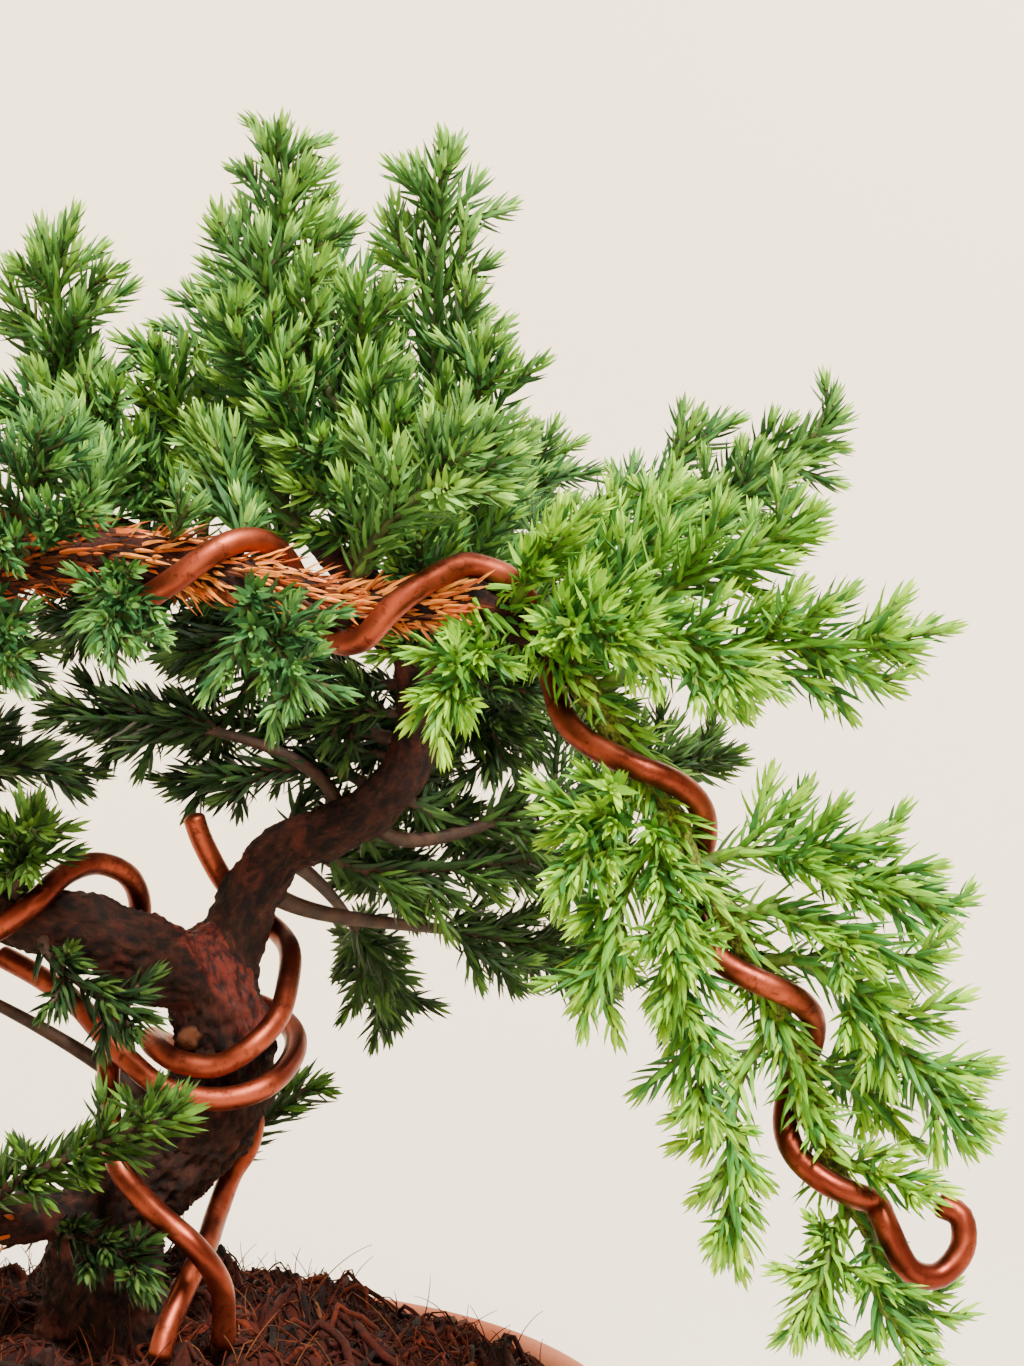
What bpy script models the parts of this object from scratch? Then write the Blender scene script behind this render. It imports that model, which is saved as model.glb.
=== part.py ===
# Wired dwarf juniper bonsai in a round clay pot.
#
# Frame: +Z up, +X to the right and -Y towards the viewer. The origin is the centre of the pot's
# flat underside. Sizes are written in millimetres and multiplied by MM.

import math
import random

import bmesh
import bpy
import numpy as np
from mathutils import Matrix, Vector, noise

MM = 0.001
GAP = 0.35  # clearance that neighbouring solids keep
UP = Vector((0, 0, 1))
FRONT = Vector((0, -1, 0))

# Pot: a turned clay bowl with a plain band for a rim.
POT_HEIGHT = 70
POT_FOOT_RADIUS = 60
POT_RIM_RADIUS = 86
POT_BAND_HEIGHT = 12
POT_BAND_STEP = 3.5
POT_EDGE_ROUND = 1.8
POT_WALL = 6.5
POT_FLOOR = 8
POT_SEGMENTS = 32

# Root ball: coir that stands proud of the rim, dished where the trunk stands on it.
BALL_EDGE_HEIGHT = 65
BALL_CROWN = 23
BALL_SHOULDER = 4  # the higher, the flatter the top and the steeper the side
BALL_RINGS = (0.16, 0.2, 0.34, 0.5, 0.65, 0.8, 0.92, 1)
BALL_RELIEF = 3.2
BALL_GRAIN = 0.07
GROUND = 86  # height of the trunk's flat cut
FOOT = (-3, 0)

# Limbs: (x, y, z, radius) along each, the trunk from the ground up, a bough from its parent out.
LIMB_ROUTES = {
    "trunk": [
        (-3, 0, 86, 12), (-4, 0, 96, 9.8), (-3, 0, 105, 9.1), (2, 0, 112.2, 9), (8.3, 0, 118, 8.9),
        (13.3, 0, 123.5, 8.7), (15.7, 0, 129.5, 8.4), (15.9, 0, 136, 8), (14.5, 0, 142.5, 7.6),
        (12.8, 0, 148.5, 7.2), (12, 0, 153, 5.4),
    ],
    "left_limb": [
        (12, -1, 146, 6.8), (4, -4, 150, 6.6), (-3, -8, 154, 5.8), (-9, -10, 155.8, 5.3),
        (-18, -11, 158.5, 5), (-28, -12, 163.5, 4.9),
    ],
    "left_bend": [
        (-27.2, -12, 163, 4.8), (-37.5, -15, 173, 4.8), (-40, -20, 187, 4.7),
        (-34, -25, 200, 4.5), (-23, -29, 209, 4.3),
    ],
    "main_bough": [
        (-23.8, -28.6, 208.4, 4.2), (-13.5, -31, 212.5, 4.1), (0.5, -33, 214.5, 3.9),
        (14, -34, 213, 3.6), (26.5, -35, 210, 3.3), (38.5, -35, 206.5, 3),
        (50.5, -36, 206.5, 2.8), (59.5, -36, 207.5, 2.7),
    ],
    "cascade": [
        (58.7, -36, 207.5, 2.6), (69, -38, 200.5, 2.5), (77.5, -40, 190.5, 2.4),
        (85, -41, 179.5, 2.2), (90.5, -42, 167.5, 2.1), (98, -42, 156.5, 2),
        (104, -42, 143.5, 1.9), (108, -42, 131, 1.8), (113, -42, 120, 1.6), (118, -41, 113, 1.4),
    ],
    "right_limb": [
        (13.5, 1, 146, 5.2), (17.5, 3, 153, 5), (20.7, 4, 160, 4.7), (26.5, 5, 167.5, 4.5),
        (36, 6, 171, 4.3), (44, 7, 177, 4.1), (47.5, 8, 186, 3.9), (48, 8, 195, 3.7),
        (45.5, 7, 204, 3.3), (38, 5, 213, 2.8), (29, 2, 220.5, 2.2),
    ],
    "crown_bough": [
        (46.5, 8, 200, 2.6), (36, 13, 207, 2.4), (24, 15, 212, 2.1), (9, 14, 217.5, 1.8),
        (-6, 11, 223, 1.4),
    ],
    "rear_bough": [
        (47.3, 8, 182, 2.7), (51, 18, 192, 2.4), (58, 28, 201, 2), (70, 38, 209.5, 1.7),
        (84, 43, 218, 1.3),
    ],
    "low_left_bough": [
        (-3, -2, 106, 5), (-11, -7, 108.3, 4.4), (-18.5, -12, 108.6, 3.8), (-27, -17, 112, 2.6),
    ],
}
LIMB_SIDES = {"trunk": 12, "left_limb": 10, "left_bend": 10, "right_limb": 10}
LIMB_STEP = 6.5
# a bough starts inside these limbs and is cut back to stand clear of them
CUT_BY = {
    "left_limb": ("trunk",), "right_limb": ("trunk", "left_limb"), "left_bend": ("left_limb",),
    "main_bough": ("left_bend",), "cascade": ("main_bough",), "crown_bough": ("right_limb",),
    "rear_bough": ("right_limb",), "low_left_bough": ("trunk",),
}
BARK_DEPTH = 0.09  # deepest furrow, as a share of the limb's radius
ROOT_LOBES = 5
ROOT_LOBE_DEPTH = 0.16
ROOT_FLARE_TOP = 98

# Copper-coloured training wire.
WIRE_RADIUS = 1.9
WIRE_STANDOFF = 0.75
WIRE_SIDES = 7
WIRE_STEP = 7  # longest piece of wire between rings
WIRE_TURN = 34  # and the most it bends by, in degrees
BOUGH_WIRE_START = [  # out of the coir, up across the trunk, behind the left limb and over it
    (18, -15.5, 89.6), (18.4, -17, 94), (18.2, -20, 100.7), (14.6, -22, 107.1),
    (7.5, -20, 112.6), (2.2, -16.5, 117.3), (0.1, -14, 122.1), (-1, -11, 127), (-2, -6.5, 131.3),
    (-2.2, -2, 136), (-1.5, 1, 141.5), (-0.5, 3, 147.5), (1, 3.8, 153), (1.5, 2, 158.8),
    (0, -1.5, 163.3), (-4, -6.5, 165.5), (-8, -12, 164.2), (-11, -17, 160.8),
]
# where the winding crosses the front of the bough, in millimetres along left limb, bend, main
# bough and cascade laid end to end
BOUGH_WIRE_LIMBS = ("left_limb", "left_bend", "main_bough", "cascade")
BOUGH_WIRE_CROSSINGS = (32, 70, 108, 147, 177, 225, 260, 292)
BOUGH_WIRE_END = 296.5
BOUGH_WIRE_HOOK = [
    (118, -47, 116.5), (121, -47, 110.8), (125.5, -46, 109.6), (129.2, -44.5, 113),
    (129.3, -43, 117.3), (126, -42, 119),
]
LIMB_WIRE_ROUTE = [  # cut end behind the right limb, round the trunk, down into the coir
    (9.9, 6, 172.6), (11.4, 7, 167.9), (14.7, 9.5, 161), (19, 11.5, 156), (24, 9.5, 152.3),
    (26.5, 4.5, 149.5), (26.8, -2, 145), (25.9, -8, 140.7), (22.4, -12, 136.8),
    (16.7, -12.5, 133.6), (10.5, -11.7, 134), (6, -7.5, 135.6), (4, -1, 136), (6, 8, 133),
    (13, 11.8, 128), (19, 11.5, 121.5), (19, 9, 116), (16.3, 6.5, 111.5), (14.7, 0, 106.3),
    (14, -7, 103), (12.2, -14, 99.4), (10, -20, 94), (9, -22.5, 89.6),
]
RING_WIRE_ROUTE = [  # a second turn under the first, off along the left limb
    (16, 12.5, 141), (23, 10.5, 138.5), (27.3, 4.5, 135.6), (27.4, -3, 132.5),
    (23.8, -10.3, 129.6), (16.6, -12.6, 128.2), (8, -12, 129.9), (1.4, -9.3, 134.3),
    (-3, -7, 138), (-8, -3.5, 142.3), (-14.7, 0, 146), (-22, 2, 149.5),
]

# Foliage. Each mass is one stem that leaves a limb a share of the way along it and ends at its
# tip, with side shoots. Rows: limb, share along it, tip, side shoot length, share of the stem
# that is bare, upward bow of the stem, number of side shoots.
MASSES = {
    "crown_leader": ("right_limb", 1.0, (26, 0, 290), 22, 0.15, 0, 7),
    "crown_shoulder": ("right_limb", 0.97, (14, -8, 272), 21, 0.15, 0, 5),
    "right_spire": ("right_limb", 0.9, (53, 6, 289), 19, 0.25, 0, 6),
    "right_shoulder": ("right_limb", 0.8, (60, -8, 255), 20, 0.15, 0, 6),
    "left_spire": ("crown_bough", 1.0, (-12, -4, 272), 19, 0.15, 0, 6),
    "mid_left": ("crown_bough", 0.72, (5, -6, 254), 20, 0.12, 0, 6),
    "rear_left": ("crown_bough", 0.55, (5, 48, 271), 19, 0.2, 0, 5),
    "rear_leader": ("crown_bough", 0.28, (31, 40, 282), 19, 0.2, 0, 5),
    "crown_front": ("right_limb", 0.94, (26, -30, 246), 18, 0.15, 0, 5),
    "front_tuft": ("right_limb", 0.87, (39, -28, 243), 17, 0.15, 0, 4),
    "front_right_tuft": ("right_limb", 0.76, (50, -34, 219), 15, 0.15, 3, 4),
    "dark_spire": ("rear_bough", 0.25, (60, 20, 236), 12, 0.3, 0, 3),
    "rear_spire": ("rear_bough", 0.72, (106, 38, 246), 16, 0.25, 0, 4),
    "rear_right": ("rear_bough", 1.0, (128, 34, 246), 15, 0.15, 0, 5),
    "rear_back": ("rear_bough", 0.5, (74, 85, 244), 18, 0.3, 3, 6),
    "bough_far_left": ("main_bough", 0.12, (-7, -50, 194), 16, 0.2, 2, 4),
    "bough_up_left": ("main_bough", 0.2, (-1, -44, 236), 17, 0.15, 0, 4),
    "bough_tuft_left": ("main_bough", 0.44, (9, -58, 199), 14, 0.2, 2, 4),
    "bough_tuft_mid": ("main_bough", 0.66, (36, -60, 191), 16, 0.2, 3, 4),
    "pad_top_left": ("main_bough", 0.83, (66, -38, 231), 16, 0.2, 3, 4),
    "pad_top_mid": ("cascade", 0.05, (92, -24, 229), 18, 0.2, 0, 5),
    "pad_right_upper": ("cascade", 0.09, (112, -42, 220), 18, 0.15, 2, 6),
    "pad_right_long": ("cascade", 0.14, (126, -48, 200), 17, 0.15, 2, 5),
    "pad_front_under": ("cascade", 0.02, (53, -56, 189), 14, 0.2, 2, 4),
    "cascade_left": ("cascade", 0.32, (71, -58, 164), 15, 0.2, 4, 4),
    "cascade_down": ("cascade", 0.41, (75, -52, 147), 14, 0.2, 4, 4),
    "cascade_right": ("cascade", 0.42, (130, -48, 160), 17, 0.15, 3, 5),
    "cascade_inner_down": ("cascade", 0.5, (93, -52, 128), 14, 0.2, 3, 4),
    "cascade_drop": ("cascade", 0.64, (98, -46, 109), 12, 0.2, 3, 4),
    "cascade_right_low": ("cascade", 0.67, (132, -46, 125), 14, 0.2, 4, 5),
    "cascade_end_left": ("cascade", 0.9, (101, -53, 103), 11, 0.15, 2, 3),
    "cascade_end": ("cascade", 1.0, (127, -37, 98), 12, 0.1, 0, 5),
    "mid_rear": ("right_limb", 0.47, (106, 40, 182), 17, 0.3, 3, 6),
    "rear_low_right": ("right_limb", 0.17, (86, 58, 136), 17, 0.45, 6, 6),
    "rear_low_mid": ("right_limb", 0.24, (42, 66, 126), 16, 0.45, 6, 5),
    "under_left": ("right_limb", 0.3, (-20, 14, 190), 15, 0.45, 4, 5),
    "left_limb_tuft": ("left_limb", 0.72, (-9, -30, 176), 12, 0.2, 0, 4),
    "limb_spray": ("left_limb", 0.55, (10, -24, 143), 11, 0.2, -3, 3),
    "front_low_spray": ("low_left_bough", 0.8, (19, -38, 132), 11, 0.2, 2, 5),
    "low_droop": ("low_left_bough", 0.35, (11, -28, 101), 11, 0.2, 4, 3),
    "low_left": ("low_left_bough", 1.0, (-46, -30, 127), 16, 0.15, 2, 5),
    "trunk_sprig": ("trunk", 0.5, (33, 12, 127), 9, 0.3, 0, 2),
    "far_left_low": ("trunk", 0.52, (-67, -4, 160), 17, 0.4, 4, 5),
    "far_left_mid": ("left_bend", 0.45, (-80, -26, 190), 18, 0.2, 4, 5),
    "far_left_top": ("left_bend", 0.8, (-56, -34, 236), 19, 0.15, 2, 5),
    "far_left_rear": ("left_bend", 0.6, (-70, 42, 205), 19, 0.25, 4, 6),
}
BLUE_GREEN = (0.045, 0.135, 0.055, 1)
FRESH_GREEN = (0.065, 0.2, 0.03, 1)
FRESH_LIMBS = ("cascade",)

NEEDLE_REACH = 4.2  # how far a needle's tip stands out from the axis of its shoot
NEEDLE_ROOM = 4.4  # and the room kept for it
NEEDLE_FORWARD = 4.8
TIP_LENGTH = 5.2
CORE_RADIUS = 0.95
STEM_TAPER = 0.016  # a stem's base is thicker than its tip by this share of its length
BARE_SPACING = 6
STEM_SPACING = 8  # between whorls on a stem, then on a side shoot
SHOOT_SPACING = 6
SHOOT_START = 3.8  # along a side shoot, its first whorl
SHOOT_SINK = 0.7  # how far its point lies behind the stem's axis
SHOOT_LEAN = 40
SHOOT_UPTURN = 0.16
SHORTEST_SHOOT = 7.5
GOLDEN_ANGLE = 137.5
FINE_PER_SHOOT = 3  # the rule numbers three side shoots to every one that is built here
STEM_SHIFTS = (0, 0.02, -0.02, 0.04, -0.04, 0.06, -0.06)
STEM_SWAYS = (0, 7, -7, 14, -14)
SHOOT_SCALES = (1, 0.8, 0.62)
SHOOT_TURNS = (0, 25, -25, 50, -50)


def clear_scene():
    for old in list(bpy.data.objects):
        bpy.data.objects.remove(old, do_unlink=True)


def make_material(name, colour, roughness, metallic=0.0):
    material = bpy.data.materials.new(name)
    material.use_nodes = True
    shader = material.node_tree.nodes["Principled BSDF"]
    shader.inputs["Base Color"].default_value = colour
    shader.inputs["Roughness"].default_value = roughness
    shader.inputs["Metallic"].default_value = metallic
    material.diffuse_color = colour
    return material


def make_object(name, vertices, faces, material):
    # vertices in millimetres; the surface is turned outwards if it came out inside out
    mesh = bpy.data.meshes.new(name)
    mesh.from_pydata([Vector(v) * MM for v in vertices], [], faces)
    body = bmesh.new()
    body.from_mesh(mesh)
    bmesh.ops.triangulate(body, faces=[f for f in body.faces if len(f.verts) > 4])
    if body.calc_volume(signed=True) < 0:
        bmesh.ops.reverse_faces(body, faces=body.faces)
    body.to_mesh(mesh)
    body.free()
    mesh.materials.append(material)
    made = bpy.data.objects.new(name, mesh)
    bpy.context.scene.collection.objects.link(made)
    return made


def shade_smooth(made):
    for face in made.data.polygons:
        face.use_smooth = True


def apply_boolean(target, operation, cutter=None, group=None):
    modifier = target.modifiers.new("boolean", "BOOLEAN")
    modifier.operation = operation
    modifier.solver = "EXACT"
    if group:
        modifier.operand_type = "COLLECTION"
        modifier.collection = group
    else:
        modifier.object = cutter
    bpy.context.view_layer.update()
    bpy.context.view_layer.objects.active = target
    bpy.ops.object.modifier_apply(modifier=modifier.name)


# Curves.


def smooth_route(route, step):
    # a curve through every row of the route, as rows no more than about a step apart
    rows = [np.array(row, float) for row in route]
    rows = [2 * rows[0] - rows[1]] + rows + [2 * rows[-1] - rows[-2]]
    out = []
    for a, b, c, d in zip(rows, rows[1:], rows[2:], rows[3:]):
        count = max(1, round(float(np.linalg.norm((c - b)[:3])) / step))
        for i in range(count):
            t = i / count
            out.append(
                0.5 * (2 * b + (c - a) * t + (2 * a - 5 * b + 4 * c - d) * t * t
                       + (3 * b - a - 3 * c + d) * t ** 3)
            )
    out.append(rows[-2])
    return np.array(out)


def stations(points):
    steps = np.linalg.norm(np.diff(points[:, :3], axis=0), axis=1)
    return np.concatenate([[0], np.cumsum(steps)])


def at_station(points, along):
    # row at a distance along the curve, and the direction of the curve there
    marks = stations(points)
    along = min(max(along, 0), marks[-1])
    row = np.array([np.interp(along, marks, column) for column in points.T])
    ahead = np.array([np.interp(min(along + 1, marks[-1]), marks, c) for c in points[:, :3].T])
    behind = np.array([np.interp(max(along - 1, 0), marks, c) for c in points[:, :3].T])
    return row, Vector(ahead - behind).normalized()


def resample(points, step):
    marks = stations(points)
    count = max(2, math.ceil(marks[-1] / step) + 1)
    return np.array([at_station(points, marks[-1] * i / (count - 1))[0] for i in range(count)])


def resample_bends(points, step, turn):
    # rows closer together where the curve bends
    kept = [points[0]]
    length = 0
    bend = 0
    for before, here, after in zip(points, points[1:], points[2:]):
        into = Vector((here - before)[:3])
        length += into.length
        bend += math.degrees(into.angle(Vector((after - here)[:3])))
        if length >= step or bend >= turn:
            kept.append(here)
            length = 0
            bend = 0
    if np.linalg.norm((points[-1] - kept[-1])[:3]) < 0.3 * step:
        kept.pop()
    return np.array(kept + [points[-1]])


def ring_frames(points, first_tangent=None):
    # at each row: centre, tangent and two directions across it that don't twist
    centres = [Vector(row[:3]) for row in points]
    tangents = []
    for i in range(len(centres)):
        ahead = centres[min(i + 1, len(centres) - 1)]
        behind = centres[max(i - 1, 0)]
        tangents.append((ahead - behind).normalized())
    if first_tangent:
        tangents[0] = first_tangent
    seed = Vector((1, 0, 0)) if abs(tangents[0].x) < 0.7 else Vector((0, 1, 0))
    across = (seed - tangents[0] * seed.dot(tangents[0])).normalized()
    frames = []
    for centre, tangent in zip(centres, tangents):
        across = (across - tangent * across.dot(tangent)).normalized()
        frames.append((centre, tangent, across, tangent.cross(across)))
    return frames


def tube(name, points, sides, material, radius_at=None, first_tangent=None):
    vertices = []
    for row, (centre, _, across, up) in zip(points, ring_frames(points, first_tangent)):
        for k in range(sides):
            angle = math.tau * k / sides
            out = across * math.cos(angle) + up * math.sin(angle)
            radius = radius_at(row, centre, out, angle) if radius_at else row[3]
            vertices.append(centre + out * radius)
    faces = []
    for i in range(len(points) - 1):
        for k in range(sides):
            a = i * sides + k
            b = i * sides + (k + 1) % sides
            faces.append((a, b, b + sides, a + sides))
    faces.append(tuple(reversed(range(sides))))
    faces.append(tuple(range(len(vertices) - sides, len(vertices))))
    return make_object(name, vertices, faces, material)


# Pot and root ball.


def revolve(name, profile, segments, material):
    # profile: (radius, height) rows, the first and last on the axis
    vertices = [(0, 0, profile[0][1])]
    for radius, height in profile[1:-1]:
        for k in range(segments):
            angle = math.tau * k / segments
            vertices.append((radius * math.cos(angle), radius * math.sin(angle), height))
    vertices.append((0, 0, profile[-1][1]))
    last = len(vertices) - 1
    rings = len(profile) - 2
    faces = []
    for k in range(segments):
        after = (k + 1) % segments
        faces.append((0, 1 + after, 1 + k))
        for i in range(rings - 1):
            low = 1 + i * segments
            faces.append((low + k, low + after, low + segments + after, low + segments + k))
        top = 1 + (rings - 1) * segments
        faces.append((top + k, top + after, last))
    return make_object(name, vertices, faces, material)


def pot_bore(height):
    # inner radius of the pot at a height
    share = (height - POT_FLOOR) / (POT_HEIGHT - POT_FLOOR)
    low = POT_FOOT_RADIUS - POT_WALL
    return low + (POT_RIM_RADIUS - POT_WALL - low) * share


def build_pot():
    under_band = POT_HEIGHT - POT_BAND_HEIGHT
    body = POT_RIM_RADIUS - POT_BAND_STEP
    profile = [
        (0, 0), (POT_FOOT_RADIUS, 0), (body, under_band - 1.5), (POT_RIM_RADIUS - 1, under_band),
        (POT_RIM_RADIUS, under_band + 2), (POT_RIM_RADIUS, POT_HEIGHT - POT_EDGE_ROUND),
        (POT_RIM_RADIUS - POT_EDGE_ROUND, POT_HEIGHT),
        (POT_RIM_RADIUS - POT_WALL + POT_EDGE_ROUND, POT_HEIGHT),
        (pot_bore(POT_HEIGHT - POT_EDGE_ROUND), POT_HEIGHT - POT_EDGE_ROUND),
        (pot_bore(POT_FLOOR), POT_FLOOR), (0, POT_FLOOR),
    ]
    revolve("pot", profile, POT_SEGMENTS, make_material("pot_clay", (0.48, 0.2, 0.13, 1), 0.8))


def ball_height(x, y):
    # nominal top of the coir; its relief only goes down from here
    edge = pot_bore(BALL_EDGE_HEIGHT) - GAP
    share = min(1, math.hypot(x, y) / edge)
    return BALL_EDGE_HEIGHT + BALL_CROWN * (1 - share ** BALL_SHOULDER)


def build_root_ball():
    edge = pot_bore(BALL_EDGE_HEIGHT) - GAP
    pad = GROUND - GAP
    vertices = [(FOOT[0], FOOT[1], pad)]
    for share in BALL_RINGS:
        drift = 1 - share  # inner rings are centred on the trunk's foot
        for k in range(POT_SEGMENTS):
            angle = math.tau * k / POT_SEGMENTS
            x = FOOT[0] * drift + edge * share * math.cos(angle)
            y = FOOT[1] * drift + edge * share * math.sin(angle)
            height = ball_height(x, y)
            if share == BALL_RINGS[0]:
                height = pad
            elif share < 1:
                grain = noise.noise(Vector((x, y, 7)) * BALL_GRAIN)
                height -= BALL_RELIEF * (0.5 + 0.5 * grain) * min(1, 4 * drift)
            vertices.append((x, y, height))
    low_radius = pot_bore(POT_FLOOR) - GAP
    floor = POT_FLOOR + GAP
    for k in range(POT_SEGMENTS):
        angle = math.tau * k / POT_SEGMENTS
        vertices.append((low_radius * math.cos(angle), low_radius * math.sin(angle), floor))
    vertices.append((0, 0, floor))
    rings = len(BALL_RINGS) + 1
    faces = []
    for k in range(POT_SEGMENTS):
        after = (k + 1) % POT_SEGMENTS
        faces.append((0, 1 + k, 1 + after))
        for i in range(rings - 1):
            a = 1 + i * POT_SEGMENTS
            b = a + POT_SEGMENTS
            faces.append((a + k, b + k, b + after, a + after))
        a = 1 + (rings - 1) * POT_SEGMENTS
        faces.append((a + k, len(vertices) - 1, a + after))
    made = make_object("root_ball", vertices, faces, make_material("coir", (0.16, 0.05, 0.025, 1), 0.95))
    body = bmesh.new()
    body.from_mesh(made.data)
    bmesh.ops.triangulate(body, faces=body.faces)
    body.to_mesh(made.data)
    body.free()


# Limbs.


def bark_radius(row, centre, out, angle):
    # furrows run along the limb and only go in from the nominal radius
    grain = noise.noise(Vector((centre.x * 0.05, centre.z * 0.05, 3)) + out * 1.7)
    return row[3] * (1 - BARK_DEPTH * (0.5 + 0.5 * grain))


def trunk_radius(row, centre, out, angle):
    flare = max(0, (ROOT_FLARE_TOP - centre.z) / (ROOT_FLARE_TOP - GROUND))
    lobes = ROOT_LOBE_DEPTH * flare * (0.5 - 0.5 * math.cos(ROOT_LOBES * angle + 0.6))
    return bark_radius(row, centre, out, angle) * (1 - lobes)


def grown(points, extra):
    # the same limb, thicker and longer by a clearance
    out = np.array(points)
    for end, nearest in ((0, 1), (-1, -2)):
        away = points[end, :3] - points[nearest, :3]
        out[end, :3] += away / np.linalg.norm(away) * extra
    out[:, 3] += extra
    return out


def build_limbs(curves):
    for name, points in curves.items():
        sides = LIMB_SIDES.get(name, 8)
        radius_at = trunk_radius if name == "trunk" else bark_radius
        first = UP if name == "trunk" else None
        bark = make_material(name + "_bark", (0.07, 0.04, 0.03, 1), 0.9)
        made = tube(name, points, sides, bark, radius_at, first)
        for parent in CUT_BY.get(name, ()):
            around = grown(resample(curves[parent], 3), GAP)
            cutter = tube("cutter", around, 16, bark)
            cutter.hide_render = True
            cutter.display_type = "WIRE"
            apply_boolean(made, "DIFFERENCE", cutter)
            bpy.data.objects.remove(cutter, do_unlink=True)
        shade_smooth(made)


# Wires.


def winding(limb_curves):
    # the wire's centre line round the boughs: one turn from each front crossing to the next
    rows = [limb_curves[name][: -1] for name in BOUGH_WIRE_LIMBS]
    axis = np.concatenate(rows + [limb_curves[BOUGH_WIRE_LIMBS[-1]][-1:]])
    turns = list(range(len(BOUGH_WIRE_CROSSINGS)))
    out = []
    along = BOUGH_WIRE_CROSSINGS[0]
    while along <= BOUGH_WIRE_END:
        turn = np.interp(along, BOUGH_WIRE_CROSSINGS, turns)
        last = BOUGH_WIRE_CROSSINGS[-1]
        if along > last:
            turn += (along - last) / (last - BOUGH_WIRE_CROSSINGS[-2])
        row, tangent = at_station(axis, along)
        face = (FRONT - tangent * FRONT.dot(tangent)).normalized()
        side = face.cross(tangent)
        reach = row[3] + WIRE_RADIUS + WIRE_STANDOFF
        angle = math.tau * turn
        centre = Vector(row[:3]) + (face * math.cos(angle) + side * math.sin(angle)) * reach
        out.append(tuple(centre))
        along += 2
    return out


def build_wires(curves):
    routes = {
        "bough_wire": BOUGH_WIRE_START + winding(curves) + BOUGH_WIRE_HOOK,
        "limb_wire": LIMB_WIRE_ROUTE,
        "ring_wire": RING_WIRE_ROUTE,
    }
    lines = {}
    for name, route in routes.items():
        rows = smooth_route([(*point, WIRE_RADIUS) for point in route], 1.2)
        rows = resample_bends(rows, WIRE_STEP, WIRE_TURN)
        copper = make_material(name + "_copper", (0.42, 0.13, 0.06, 1), 0.38, 1.0)
        shade_smooth(tube(name, rows, WIRE_SIDES, copper))
        lines[name] = rows
    return lines


# Foliage. The plan is worked out on centre lines first, with the space round each kept free, and
# the solids are made from it afterwards.


class Space:
    # balls along every centre line that is already placed, with the node each belongs to
    def __init__(self):
        self.centres = np.zeros((0, 3))
        self.radii = np.zeros(0)
        self.owners = np.zeros(0, int)
        self.names = []

    def add(self, name, centres, radii):
        if name not in self.names:
            self.names.append(name)
        owner = np.full(len(centres), self.names.index(name))
        self.centres = np.concatenate([self.centres, centres])
        self.radii = np.concatenate([self.radii, radii])
        self.owners = np.concatenate([self.owners, owner])

    def room(self, centres, skip):
        # free distance from each centre to anything that isn't skipped
        keep = np.ones(len(self.owners), bool)
        for name in skip:
            if name in self.names:
                keep &= self.owners != self.names.index(name)
        offsets = centres[:, None, :] - self.centres[None, keep, :]
        free = np.linalg.norm(offsets, axis=2) - self.radii[None, keep]
        room = free.min(axis=1) - GAP
        over_pot = np.hypot(centres[:, 0], centres[:, 1]) < POT_RIM_RADIUS + 6
        above = np.where(over_pot, centres[:, 2] - BALL_EDGE_HEIGHT - BALL_CROWN - 1, 99)
        return np.minimum(room, above)


def bezier(a, b, c, d, count):
    out = []
    for i in range(count + 1):
        t = i / count
        u = 1 - t
        out.append(a * u ** 3 + b * 3 * u * u * t + c * 3 * u * t * t + d * t ** 3)
    return np.array([tuple(p) for p in out])


def stem_line(curves, row, shift, sway):
    limb, share, tip, _, _, bow, _ = row
    points = curves[limb]
    length = stations(points)[-1]
    tip = Vector(tip)
    if share >= 1:
        axis, tangent = at_station(points, length)
        leave = tangent
        root = Vector(axis[:3]) + leave * (GAP + 0.1)
    else:
        axis, tangent = at_station(points, length * (share + shift))
        centre = Vector(axis[:3])
        away = tip - centre
        leave = (away - tangent * away.dot(tangent)).normalized()
        root = centre + leave * (axis[3] + GAP + 0.1)
    reach = (tip - root).length
    across = (tip - root).cross(UP).normalized()
    first = root + leave * reach * 0.22
    middle = root.lerp(tip, 0.62) + UP * bow * 1.4 + across * sway
    return bezier(root, first, middle, tip, 40), limb


def plan_stem(name, row, curves, space):
    # the placing that leaves most of the stem free to carry needles
    best = None
    for sway in STEM_SWAYS:
        for shift in STEM_SHIFTS:
            if row[1] + shift > 1 or (row[1] >= 1 and shift):
                continue
            line, limb = stem_line(curves, row, shift, sway)
            marks = stations(line)
            core = CORE_RADIUS + STEM_TAPER * marks[-1] * (1 - marks / marks[-1])
            clear_of_parent = marks > (2 if row[1] < 1 else curves[limb][-1, 3] + 2)
            free = space.room(line, (name,))
            free_of_others = space.room(line, (name, limb))
            if (free_of_others < core).any() or (free[clear_of_parent] < core[clear_of_parent]).any():
                continue
            tight = np.nonzero(free < NEEDLE_ROOM)[0]
            start = marks[tight[-1]] if len(tight) else 0
            start = max(start, row[4] * marks[-1])
            plain, whorls = ring_marks(marks[-1], start, STEM_SPACING)
            rows = [at_station(line, mark)[0] for mark in plain + whorls]
            chords = resample(np.array(rows + [line[-1]]), 1.2)
            away = stations(chords)
            kept = away > clear_of_parent.argmax() * marks[-1] / 40
            if (space.room(chords, (name,))[kept] < CORE_RADIUS + 0.5).any():
                continue
            score = marks[-1] - start - 0.15 * abs(sway) - 20 * abs(shift)
            if best is None or score > best[0] + 0.5:
                best = (score, line, start)
        if best and best[2] < 0.5 * stations(best[1])[-1]:
            break
    return best


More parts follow.
